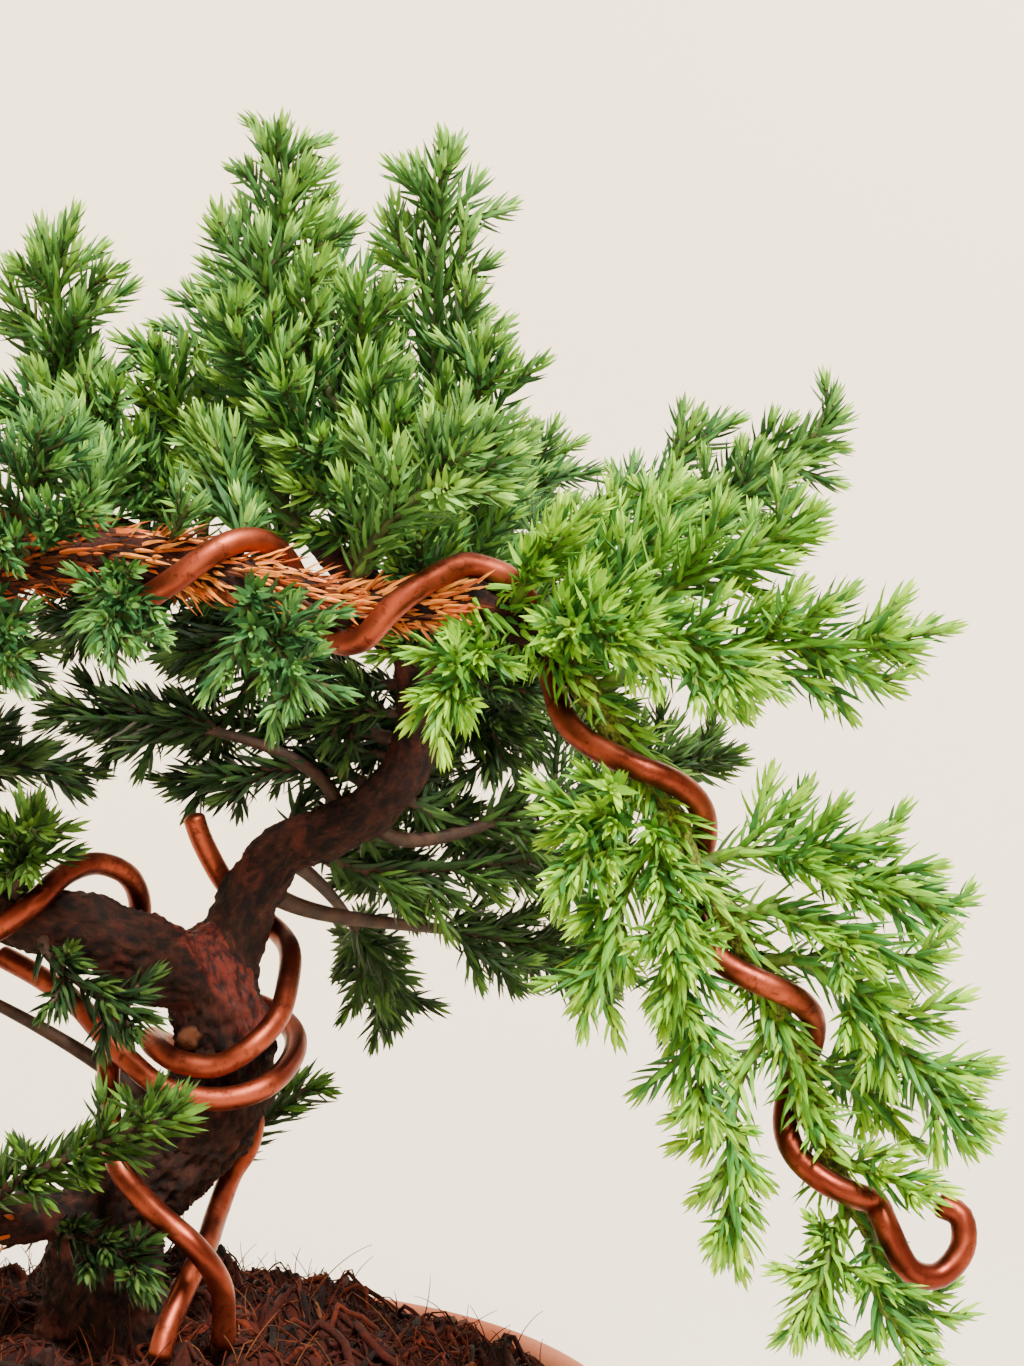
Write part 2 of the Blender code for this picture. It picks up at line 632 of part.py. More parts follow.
def plan_shoot(name, number, stem, row, space):
    # the first of the placings by rule that keeps to free space, or nothing
    line, start = stem
    length = stations(line)[-1]
    many = row[6] * FINE_PER_SHOOT
    low = max(0.7 * row[4], (start - 3) / length)
    share = low + (0.93 - low) * (number + 0.5) / many
    centre, tangent = at_station(line, length * share)
    dice = random.Random(f"{name}:{number}")
    azimuth = GOLDEN_ANGLE * number + dice.uniform(-18, 18)
    lean = SHOOT_LEAN + dice.uniform(-7, 7)
    full = min(row[3], 5 + 0.6 * length * (1 - share)) * dice.uniform(0.88, 1.08)
    seed = UP if abs(tangent.z) < 0.8 else FRONT
    across = (seed - tangent * seed.dot(tangent)).normalized()
    for scale in SHOOT_SCALES:
        if full * scale < SHORTEST_SHOOT:
            continue
        for turn in SHOOT_TURNS:
            spin = Matrix.Rotation(math.radians(azimuth + turn), 3, tangent)
            out = spin @ across
            aim = tangent * math.cos(math.radians(lean)) + out * math.sin(math.radians(lean))
            root = Vector(centre)
            middle = root + aim * full * scale * 0.5
            curl = (tangent * 0.6 + UP * 0.5) * SHOOT_UPTURN
            tip = root + (aim + curl).normalized() * full * scale
            path = bezier(root, root.lerp(middle, 0.7), middle.lerp(tip, 0.4), tip, 14)
            marks = stations(path)
            radii = np.where(marks < 2.5, CORE_RADIUS, NEEDLE_ROOM)
            if (space.room(path, (name,)) >= radii).all():
                return path
    return None


def plan_foliage(curves, wires):
    space = Space()
    for name, points in list(curves.items()) + list(wires.items()):
        fine = resample(points, 1.2)
        space.add(name, fine[:, :3], fine[:, 3])
    plan = {}
    for name, row in MASSES.items():
        found = plan_stem(name, row, curves, space)
        if not found:
            print("no room for", name)
            continue
        _, line, start = found
        plan[name] = (line, start, [])
        radii = np.where(stations(line) < start - 1, CORE_RADIUS + 1, NEEDLE_ROOM)
        space.add(name, line, radii)
    for turn in range(max(row[6] for row in MASSES.values())):
        for name, (line, start, shoots) in plan.items():
            row = MASSES[name]
            if turn >= row[6]:
                continue
            path = plan_shoot(name, turn * FINE_PER_SHOOT + 1, (line, start), row, space)
            if path is not None:
                shoots.append(path)
                space.add(name, path, np.where(stations(path) < 2.5, CORE_RADIUS, NEEDLE_ROOM))
    return plan


def ring_marks(length, start, spacing):
    # distances along a shoot of its plain rings and of its whorls
    whorl_room = length - TIP_LENGTH - start
    whorls = max(1, round(whorl_room / spacing) + 1)
    marks = [start + whorl_room * i / max(1, whorls - 1) for i in range(whorls)]
    bare = max(1, round(start / BARE_SPACING))
    return [start * i / bare for i in range(bare)], marks


def spindle(name, line, start, spacing, base_radius, material):
    # a slim core with whorls of three needles along it, alternate whorls turned by half a step;
    # without a base radius it starts in a point
    length = stations(line)[-1]
    plain, marks = ring_marks(length, start, spacing)
    if not base_radius:
        plain = []
    leave = Vector(line[1] - line[0]).normalized() if plain else None
    frames = ring_frames([at_station(line, mark)[0] for mark in plain + marks], leave)
    vertices = []
    tips = set()
    for i, (centre, tangent, across, up) in enumerate(frames):
        share = (plain + marks)[i] / length
        radius = CORE_RADIUS + max(0, base_radius - CORE_RADIUS) * (1 - share)
        whorl = i - len(plain)
        for k in range(6):
            angle = math.tau * k / 6
            out = across * math.cos(angle) + up * math.sin(angle)
            if whorl >= 0 and (k + whorl) % 2 == 0:
                tips.add(len(vertices))
                vertices.append(centre + out * NEEDLE_REACH + tangent * NEEDLE_FORWARD)
            else:
                vertices.append(centre + out * radius)
    faces = []
    for i in range(len(frames) - 1):
        for k in range(6):
            a = i * 6 + k
            b = i * 6 + (k + 1) % 6
            c = b + 6
            d = a + 6
            if a in tips or c in tips:
                faces += [(a, b, d), (b, c, d)]
            else:
                faces += [(a, b, c), (a, c, d)]
    apex = len(vertices)
    vertices.append(Vector(line[-1]))
    for k in range(6):
        faces.append((apex - 6 + k, apex - 6 + (k + 1) % 6, apex))
    if plain:
        faces.append(tuple(reversed(range(6))))
    else:
        back = (Vector(line[0]) - Vector(line[1])).normalized() * SHOOT_SINK
        vertices.append(Vector(line[0]) + back)
        for k in range(6):
            faces.append(((k + 1) % 6, k, apex + 1))
    return make_object(name, vertices, faces, material)


def build_foliage(plan):
    for name, (line, start, shoots) in plan.items():
        row = MASSES[name]
        colour = FRESH_GREEN if row[0] in FRESH_LIMBS else BLUE_GREEN
        green = make_material(name + "_needles", colour, 0.6)
        base = CORE_RADIUS + STEM_TAPER * stations(line)[-1]
        made = spindle(name, line, start, STEM_SPACING, base, green)
        group = bpy.data.collections.new("shoots")
        bpy.context.scene.collection.children.link(group)
        for i, path in enumerate(shoots):
            shoot = spindle(f"shoot_{i}", path, SHOOT_START, SHOOT_SPACING, 0, green)
            bpy.context.scene.collection.objects.unlink(shoot)
            group.objects.link(shoot)
        if shoots:
            apply_boolean(made, "UNION", group=group)
        for shoot in list(group.objects):
            bpy.data.objects.remove(shoot, do_unlink=True)
        bpy.data.collections.remove(group)


def main():
    clear_scene()
    build_pot()
    build_root_ball()
    curves = {}
    for name, route in LIMB_ROUTES.items():
        curves[name] = resample(smooth_route(route, 1.5), LIMB_STEP)
    build_limbs(curves)
    wires = build_wires(curves)
    plan = plan_foliage(curves, wires)
    build_foliage(plan)
    print("nodes", len(bpy.data.objects), "side shoots", sum(len(row[2]) for row in plan.values()))


main()
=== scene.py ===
# Wired dwarf juniper in a clay pot: bark, needles, wire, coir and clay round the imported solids.
# Shapes are worked out in millimetres, in the frame of the solids, and scaled by mm.

import math
import random
from collections import namedtuple

import bpy
import numpy as np
from mathutils import Matrix, Vector, noise


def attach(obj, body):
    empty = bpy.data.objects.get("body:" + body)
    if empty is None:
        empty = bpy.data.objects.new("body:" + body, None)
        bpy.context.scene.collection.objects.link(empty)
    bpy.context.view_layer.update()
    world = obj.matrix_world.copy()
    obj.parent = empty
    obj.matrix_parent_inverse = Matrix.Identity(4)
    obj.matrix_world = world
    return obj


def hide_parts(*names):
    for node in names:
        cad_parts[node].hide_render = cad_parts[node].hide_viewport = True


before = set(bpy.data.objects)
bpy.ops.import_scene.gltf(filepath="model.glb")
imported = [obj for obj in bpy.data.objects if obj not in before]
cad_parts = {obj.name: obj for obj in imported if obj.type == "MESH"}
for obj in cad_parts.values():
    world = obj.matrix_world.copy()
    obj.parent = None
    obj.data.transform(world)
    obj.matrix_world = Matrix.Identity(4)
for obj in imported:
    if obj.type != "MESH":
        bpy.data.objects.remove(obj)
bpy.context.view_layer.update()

mm = 0.001
up = Vector((0, 0, 1))
front = Vector((0, -1, 0))


# Camera, light and backdrop.

cameraLook = {"place": (0.064, -0.34, 0.195), "focal": 53.76, "sensor": 36, "near": 0.01}
lamps = {
    "key": {"place": (0.3, -0.6, 0.95), "aim": (0.03, 0, 0.2), "size": 0.3, "power": 43,
            "colour": (1, 0.97, 0.92)},
    "fill": {"place": (-0.1, -0.9, 0.05), "aim": (0.03, 0, 0.12), "size": 0.3, "power": 1.5,
             "colour": (1, 0.97, 0.94)},
    "wallLeft": {"place": (-1.0, 0.7, 1.5), "aim": (-0.7, 2.2, 0.75), "size": 1.0, "power": 48,
                 "colour": (1, 0.93, 0.7)},
    "wallRight": {"place": (1.0, 0.7, 1.5), "aim": (0.5, 2.2, 0.7), "size": 1.0, "power": 62,
                  "colour": (1, 0.95, 0.9)},
}
skyLook = {"colour": (1, 0.985, 0.96, 1), "power": 0.7}
coveLook = {
    "floor": 1.5, "ground": -0.0006, "bend": 0.7, "bendSteps": 12, "height": 2.4, "segments": 96,
    "colour": (0.86, 0.78, 0.66, 1),
}


def stand(name, data, place, turn):
    # a camera or lamp at its place in the scene
    made = bpy.data.objects.new(name, data)
    made.location = place
    made.rotation_euler = turn
    bpy.context.scene.collection.objects.link(made)
    return made


def addCamera():
    data = bpy.data.cameras.new("camera")
    data.sensor_width = cameraLook["sensor"]
    data.lens = cameraLook["focal"]
    data.clip_start = cameraLook["near"]
    level = (math.radians(90), 0, 0)
    bpy.context.scene.camera = stand("camera", data, cameraLook["place"], level)


def addLamp(name, look):
    data = bpy.data.lights.new(name, "AREA")
    data.shape = "DISK"
    data.size = look["size"]
    data.energy = look["power"]
    data.color = look["colour"]
    aim = Vector(look["aim"]) - Vector(look["place"])
    stand(name, data, look["place"], aim.to_track_quat("-Z", "Y").to_euler())


def addSky():
    world = bpy.data.worlds.new("sky")
    world.use_nodes = True
    sky = world.node_tree.nodes["Background"]
    sky.inputs["Color"].default_value = skyLook["colour"]
    sky.inputs["Strength"].default_value = skyLook["power"]
    bpy.context.scene.world = world


# Shader maths. Colours are written as a screen shows them, 0 to 255.


def fromScreen(red, green, blue):
    out = []
    for value in (red, green, blue):
        share = value / 255
        out.append(share / 12.92 if share <= 0.04045 else ((share + 0.055) / 1.055) ** 2.4)
    return (*out, 1)


class Signal:
    # a node's output that takes part in sums
    def __init__(self, socket):
        self.socket = socket

    def node(self, kind, settings, values, out=0):
        tree = self.socket.id_data
        made = tree.nodes.new(kind)
        for key, value in settings.items():
            setattr(made, key, value)
        for key, value in values.items():
            if isinstance(value, Signal):
                tree.links.new(value.socket, made.inputs[key])
            else:
                made.inputs[key].default_value = value
        return Signal(made.outputs[out])

    def maths(self, operation, first, second):
        return self.node("ShaderNodeMath", {"operation": operation}, {0: first, 1: second})

    def __add__(self, other):
        return self.maths("ADD", self, other)

    def __sub__(self, other):
        return self.maths("SUBTRACT", self, other)

    def __rsub__(self, other):
        return self.maths("SUBTRACT", other, self)

    def __mul__(self, other):
        return self.maths("MULTIPLY", self, other)

    __radd__ = __add__
    __rmul__ = __mul__


def newPaint(name, roughness, metallic=0.0, specular=0.5):
    # a material, its shader and the object coordinates
    material = bpy.data.materials.new(name)
    material.use_nodes = True
    tree = material.node_tree
    shader = tree.nodes["Principled BSDF"]
    shader.inputs["Roughness"].default_value = roughness
    shader.inputs["Metallic"].default_value = metallic
    shader.inputs["Specular IOR Level"].default_value = specular
    place = Signal(tree.nodes.new("ShaderNodeTexCoord").outputs["Object"])
    return material, shader, place


def readAttribute(place, name, out="Fac"):
    return place.node("ShaderNodeAttribute", {"attribute_name": name}, {}, out)


def grain(place, scale, detail, roughness=0.55, distortion=0.0):
    values = {"Vector": place, "Scale": scale, "Detail": detail, "Roughness": roughness}
    return place.node("ShaderNodeTexNoise", {}, {**values, "Distortion": distortion})


def stretched(place, scale):
    return place.node("ShaderNodeMapping", {}, {"Vector": place, "Scale": scale})


def band(signal, low, high, start=0.0, end=1.0):
    values = {"Value": signal, "From Min": low, "From Max": high, "To Min": start, "To Max": end}
    return signal.node("ShaderNodeMapRange", {"interpolation_type": "SMOOTHSTEP"}, values)


def blended(factor, first, second):
    # from the first colour to the second, each a signal or a screen colour
    tones = [tone if isinstance(tone, Signal) else fromScreen(*tone) for tone in (first, second)]
    values = {0: factor, 6: tones[0], 7: tones[1]}
    return factor.node("ShaderNodeMix", {"data_type": "RGBA"}, values, 2)


def feed(shader, name, signal):
    shader.id_data.links.new(signal.socket, shader.inputs[name])


def feedBump(shader, height, strength, distance):
    values = {"Height": height, "Strength": strength, "Distance": distance}
    feed(shader, "Normal", height.node("ShaderNodeBump", {}, values))


def speckled(name, look, dark, light):
    # two close tones in a fine grain, for small things, and a bump where the look has one
    material, shader, place = newPaint(name, look["roughness"], specular=look["specular"])
    share = band(grain(place, *look["grain"]), *look["edges"])
    feed(shader, "Base Color", blended(share, dark, light))
    if "bump" in look:
        feedBump(shader, grain(place, *look["bumpGrain"]), *look["bump"])
    return material


# Curves and tubes. A row is x, y, z and, where it has one, a radius.


def smoothRoute(route, step):
    # a curve through every row of the route, as rows no more than about a step apart
    rows = [np.array(row, float) for row in route]
    rows = [2 * rows[0] - rows[1]] + rows + [2 * rows[-1] - rows[-2]]
    out = []
    for a, b, c, d in zip(rows, rows[1:], rows[2:], rows[3:]):
        count = max(1, round(float(np.linalg.norm((c - b)[:3])) / step))
        for i in range(count):
            t = i / count
            out.append(
                0.5 * (2 * b + (c - a) * t + (2 * a - 5 * b + 4 * c - d) * t * t
                       + (3 * b - a - 3 * c + d) * t ** 3)
            )
    out.append(rows[-2])
    return np.array(out)


def stationsOf(points):
    # the distance of each row along the curve
    steps = np.linalg.norm(np.diff(points[:, :3], axis=0), axis=1)
    return np.concatenate([[0], np.cumsum(steps)])


def rowAt(points, marks, along):
    return np.array([np.interp(along, marks, column) for column in points.T])


def atStation(points, along):
    # row at a distance along the curve, and the direction of the curve there
    marks = stationsOf(points)
    along = min(max(along, 0), marks[-1])
    ahead = rowAt(points[:, :3], marks, min(along + 1, marks[-1]))
    behind = rowAt(points[:, :3], marks, max(along - 1, 0))
    return rowAt(points, marks, along), Vector(ahead - behind).normalized()


def resample(points, step):
    marks = stationsOf(points)
    count = max(2, math.ceil(marks[-1] / step) + 1)
    return np.array([rowAt(points, marks, marks[-1] * i / (count - 1)) for i in range(count)])


def resampleBends(points, step, turn):
    # rows closer together where the curve bends
    kept = [points[0]]
    length = 0
    bend = 0
    for before, here, after in zip(points, points[1:], points[2:]):
        into = Vector((here - before)[:3])
        length += into.length
        bend += math.degrees(into.angle(Vector((after - here)[:3])))
        if length >= step or bend >= turn:
            kept.append(here)
            length = 0
            bend = 0
    if np.linalg.norm((points[-1] - kept[-1])[:3]) < 0.3 * step:
        kept.pop()
    return np.array(kept + [points[-1]])


def bezier(a, b, c, d, count):
    t = np.linspace(0, 1, count + 1)[:, None]
    u = 1 - t
    a, b, c, d = (np.array(tuple(p)) for p in (a, b, c, d))
    return a * u ** 3 + b * 3 * u * u * t + c * 3 * u * t * t + d * t ** 3


def ringFrames(centres):
    # at each centre: the tangent and two directions across it that don't twist
    centres = np.asarray(centres)[:, :3]
    tangents = np.vstack([centres[1:], centres[-1:]]) - np.vstack([centres[:1], centres[:-1]])
    tangents /= np.linalg.norm(tangents, axis=1)[:, None]
    seed = np.array((1.0, 0, 0)) if abs(tangents[0][0]) < 0.7 else np.array((0, 1.0, 0))
    across = np.zeros_like(tangents)
    for i, tangent in enumerate(tangents):
        seed = seed - tangent * seed.dot(tangent)
        seed /= np.linalg.norm(seed)
        across[i] = seed
    return tangents, across, np.cross(tangents, across)


def ringFaces(rings, many, first, order=(0, 1, 2, 3)):
    # faces between rings of many vertices, numbered from first on
    k = np.arange(many)
    after = (k + 1) % many
    faces = []
    for low in range(first, first + (rings - 1) * many, many):
        corners = (low + k, low + after, low + many + after, low + many + k)
        faces.append(np.stack([corners[c] for c in order], axis=1))
    return np.vstack(faces)


def fanFaces(pole, first, many, flip=False):
    # faces between a ring, numbered from first on, and a pole
    k = np.arange(many)
    ends = [first + k, first + (k + 1) % many]
    if flip:
        ends.reverse()
    return np.stack(ends + [np.full(many, pole)], axis=1)


def tubeShape(centres, radii, sides):
    # a closed tube: vertices and faces, with a pole at each end
    tangents, across, over = ringFrames(centres)
    centres = np.asarray(centres)[:, :3]
    angles = (np.arange(sides) * math.tau / sides)[None, :, None]
    out = across[:, None, :] * np.cos(angles) + over[:, None, :] * np.sin(angles)
    radii = np.asarray(radii, float)
    if radii.ndim == 1:
        radii = np.repeat(radii[:, None], sides, axis=1)
    rings = centres[:, None, :] + out * radii[:, :, None]
    poles = [centres[0] - tangents[0] * radii[0].mean() * 0.4,
             centres[-1] + tangents[-1] * radii[-1].mean() * 0.4]
    end = len(centres) * sides
    caps = [fanFaces(end, 0, sides, True), fanFaces(end + 1, end - sides, sides)]
    faces = [ringFaces(len(centres), sides, 0), np.vstack(caps)]
    return np.vstack([rings.reshape(-1, 3), poles]), faces


def ringAt(radius, height, many):
    angles = np.arange(many) * math.tau / many
    flat = [radius * np.cos(angles), radius * np.sin(angles)]
    return np.stack(flat + [np.full(many, height)], axis=1)


def bowlShape(pole, rings, below=None):
    # rings round a pole, and another pole that closes them where there is one
    many = len(rings[0])
    faces = [fanFaces(0, 1, many), ringFaces(len(rings), many, 1, (0, 3, 2, 1))]
    if below:
        last = 1 + (len(rings) - 1) * many
        faces.append(fanFaces(last + many, last, many, True))
    return np.vstack([[pole]] + rings + ([[below]] if below else [])), faces


class Batch:
    # shapes gathered for one mesh, each face with its material's number
    def __init__(self):
        self.vertices = []
        self.faces = []
        self.slots = []
        self.count = 0

    def add(self, shape, slot=0):
        # a shape: vertices, groups of faces and, where they differ, each group's numbers
        vertices, groups, *own = shape
        for group, slots in zip(groups, own[0] if own else [slot] * len(groups)):
            self.faces.append(group + self.count)
            self.slots.append(np.broadcast_to(slots, len(group)))
        self.vertices.append(vertices)
        self.count += len(vertices)

    def finish(self, name, materials, smooth=True):
        mesh = bpy.data.meshes.new(name)
        vertices = np.vstack(self.vertices) * mm
        counts = np.concatenate([np.full(len(g), g.shape[1]) for g in self.faces])
        corners = np.concatenate([g.ravel() for g in self.faces])
        starts = np.concatenate([[0], np.cumsum(counts)[:-1]])
        mesh.vertices.add(len(vertices))
        mesh.vertices.foreach_set("co", vertices.ravel())
        mesh.loops.add(len(corners))
        mesh.loops.foreach_set("vertex_index", corners.astype(np.int32))
        mesh.polygons.add(len(counts))
        mesh.polygons.foreach_set("loop_start", starts.astype(np.int32))
        for material in materials:
            mesh.materials.append(material)
        mesh.polygons.foreach_set("material_index", np.concatenate(self.slots).astype(np.int32))
        mesh.polygons.foreach_set("use_smooth", np.full(len(counts), smooth))
        mesh.update(calc_edges=True)
        mesh.validate()
        piece = bpy.data.objects.new(name, mesh)
        bpy.context.scene.collection.objects.link(piece)
        print("piece", name, int((counts - 2).sum()), "triangles")
        return piece


def addCove():
    # floor and wall in one smooth bowl
    floor, bend, ground = coveLook["floor"], coveLook["bend"], coveLook["ground"]
    profile = [(floor * 0.3, ground), (floor, ground)]
    for i in range(1, coveLook["bendSteps"] + 1):
        angle = math.pi / 2 * i / coveLook["bendSteps"]
        profile.append((floor + bend * math.sin(angle), bend * (1 - math.cos(angle)) + ground))
    profile.append((floor + bend, coveLook["height"]))
    rings = [ringAt(radius, height, coveLook["segments"]) for radius, height in profile]
    vertices, faces = bowlShape((0, 0, ground), rings)
    batch = Batch()
    batch.add((vertices / mm, faces))
    material, shader, _ = newPaint("pale_cove", 0.9, specular=0.1)
    shader.inputs["Base Color"].default_value = coveLook["colour"]
    batch.finish("cove", [material])


# Limbs and wires, by the same routes as the solids.

limbRoutes = {
    "trunk": [
        (-3, 0, 86, 12), (-4, 0, 96, 9.8), (-3, 0, 105, 9.1), (2, 0, 112.2, 9), (8.3, 0, 118, 8.9),
        (13.3, 0, 123.5, 8.7), (15.7, 0, 129.5, 8.4), (15.9, 0, 136, 8), (14.5, 0, 142.5, 7.6),
        (12.8, 0, 148.5, 7.2), (12, 0, 153, 5.4),
    ],
    "left_limb": [
        (12, -1, 146, 6.8), (4, -4, 150, 6.6), (-3, -8, 154, 5.8), (-9, -10, 155.8, 5.3),
        (-18, -11, 158.5, 5), (-28, -12, 163.5, 4.9),
    ],
    "left_bend": [
        (-27.2, -12, 163, 4.8), (-37.5, -15, 173, 4.8), (-40, -20, 187, 4.7),
        (-34, -25, 200, 4.5), (-23, -29, 209, 4.3),
    ],
    "main_bough": [
        (-23.8, -28.6, 208.4, 4.2), (-13.5, -31, 212.5, 4.1), (0.5, -33, 214.5, 3.9),
        (14, -34, 213, 3.6), (26.5, -35, 210, 3.3), (38.5, -35, 206.5, 3),
        (50.5, -36, 206.5, 2.8), (59.5, -36, 207.5, 2.7),
    ],
    "cascade": [
        (58.7, -36, 207.5, 2.6), (69, -38, 200.5, 2.5), (77.5, -40, 190.5, 2.4),
        (85, -41, 179.5, 2.2), (90.5, -42, 167.5, 2.1), (98, -42, 156.5, 2),
        (104, -42, 143.5, 1.9), (108, -42, 131, 1.8), (113, -42, 120, 1.6), (118, -41, 113, 1.4),
    ],
    "right_limb": [
        (13.5, 1, 146, 5.2), (17.5, 3, 153, 5), (20.7, 4, 160, 4.7), (26.5, 5, 167.5, 4.5),
        (36, 6, 171, 4.3), (44, 7, 177, 4.1), (47.5, 8, 186, 3.9), (48, 8, 195, 3.7),
        (45.5, 7, 204, 3.3), (38, 5, 213, 2.8), (29, 2, 220.5, 2.2),
    ],
    "crown_bough": [
        (46.5, 8, 200, 2.6), (36, 13, 207, 2.4), (24, 15, 212, 2.1), (9, 14, 217.5, 1.8),
        (-6, 11, 223, 1.4),
    ],
    "rear_bough": [
        (47.3, 8, 182, 2.7), (51, 18, 192, 2.4), (58, 28, 201, 2), (70, 38, 209.5, 1.7),
        (84, 43, 218, 1.3),
    ],
    "low_left_bough": [
        (-3, -2, 106, 5), (-11, -7, 108.3, 4.4), (-18.5, -12, 108.6, 3.8), (-27, -17, 112, 2.6),
    ],
}
wireLook = {
    "radius": 1.9, "standoff": 0.75, "step": 7, "turn": 34, "sides": 18, "windStep": 2,
    "cutEnd": 0.62, "cutShoulder": 0.9,
}
boughWireStart = [
    (18, -15.5, 89.6), (18.4, -17, 94), (18.2, -20, 100.7), (14.6, -22, 107.1),
    (7.5, -20, 112.6), (2.2, -16.5, 117.3), (0.1, -14, 122.1), (-1, -11, 127), (-2, -6.5, 131.3),
    (-2.2, -2, 136), (-1.5, 1, 141.5), (-0.5, 3, 147.5), (1, 3.8, 153), (1.5, 2, 158.8),
    (0, -1.5, 163.3), (-4, -6.5, 165.5), (-8, -12, 164.2), (-11, -17, 160.8),
]
boughWireLimbs = ("left_limb", "left_bend", "main_bough", "cascade")
boughWireCrossings = (32, 70, 108, 147, 177, 225, 260, 292)
boughWireEnd = 296.5
boughWireHook = [
    (118, -47, 116.5), (121, -47, 110.8), (125.5, -46, 109.6), (129.2, -44.5, 113),
    (129.3, -43, 117.3), (126, -42, 119),
]
limbWireRoute = [
    (9.9, 6, 172.6), (11.4, 7, 167.9), (14.7, 9.5, 161), (19, 11.5, 156), (24, 9.5, 152.3),
    (26.5, 4.5, 149.5), (26.8, -2, 145), (25.9, -8, 140.7), (22.4, -12, 136.8),
    (16.7, -12.5, 133.6), (10.5, -11.7, 134), (6, -7.5, 135.6), (4, -1, 136), (6, 8, 133),
    (13, 11.8, 128), (19, 11.5, 121.5), (19, 9, 116), (16.3, 6.5, 111.5), (14.7, 0, 106.3),
    (14, -7, 103), (12.2, -14, 99.4), (10, -20, 94), (9, -22.5, 89.6),
]
ringWireRoute = [
    (16, 12.5, 141), (23, 10.5, 138.5), (27.3, 4.5, 135.6), (27.4, -3, 132.5),
    (23.8, -10.3, 129.6), (16.6, -12.6, 128.2), (8, -12, 129.9), (1.4, -9.3, 134.3),
    (-3, -7, 138), (-8, -3.5, 142.3), (-14.7, 0, 146), (-22, 2, 149.5),
]


def windWire(curves):
    # the wire's centre line round the boughs: one turn from each front crossing to the next
    rows = [curves[name][: -1] for name in boughWireLimbs]
    axis = np.concatenate(rows + [curves[boughWireLimbs[-1]][-1:]])
    turns = list(range(len(boughWireCrossings)))
    before, last = boughWireCrossings[-2:]
    out = []
    along = boughWireCrossings[0]
    while along <= boughWireEnd:
        turn = np.interp(along, boughWireCrossings, turns)
        if along > last:
            turn += (along - last) / (last - before)
        row, tangent = atStation(axis, along)
        face = (front - tangent * front.dot(tangent)).normalized()
        side = face.cross(tangent)
        reach = row[3] + wireLook["radius"] + wireLook["standoff"]
        angle = math.tau * turn
        centre = Vector(row[:3]) + (face * math.cos(angle) + side * math.sin(angle)) * reach
        out.append(tuple(centre))
        along += wireLook["windStep"]
    return out


def planWires(curves):
    # each wire's smooth line, and the coarser one that the solids have
    routes = {
        "bough_wire": boughWireStart + windWire(curves) + boughWireHook,
        "limb_wire": limbWireRoute,
        "ring_wire": ringWireRoute,
    }
    smooth, coarse = {}, {}
    for name, route in routes.items():
        smooth[name] = smoothRoute([(*point, wireLook["radius"]) for point in route], 1.2)
        coarse[name] = resampleBends(smooth[name], wireLook["step"], wireLook["turn"])
    return smooth, coarse


# Growth. Masses, stems and side shoots follow the rule of the solids; finer shoots and twigs then
# fill what the rule leaves open. A row: limb, share along it, tip, side shoot length and, where
# they aren't the usual ones, share of the stem that is bare, upward bow and number of side shoots.

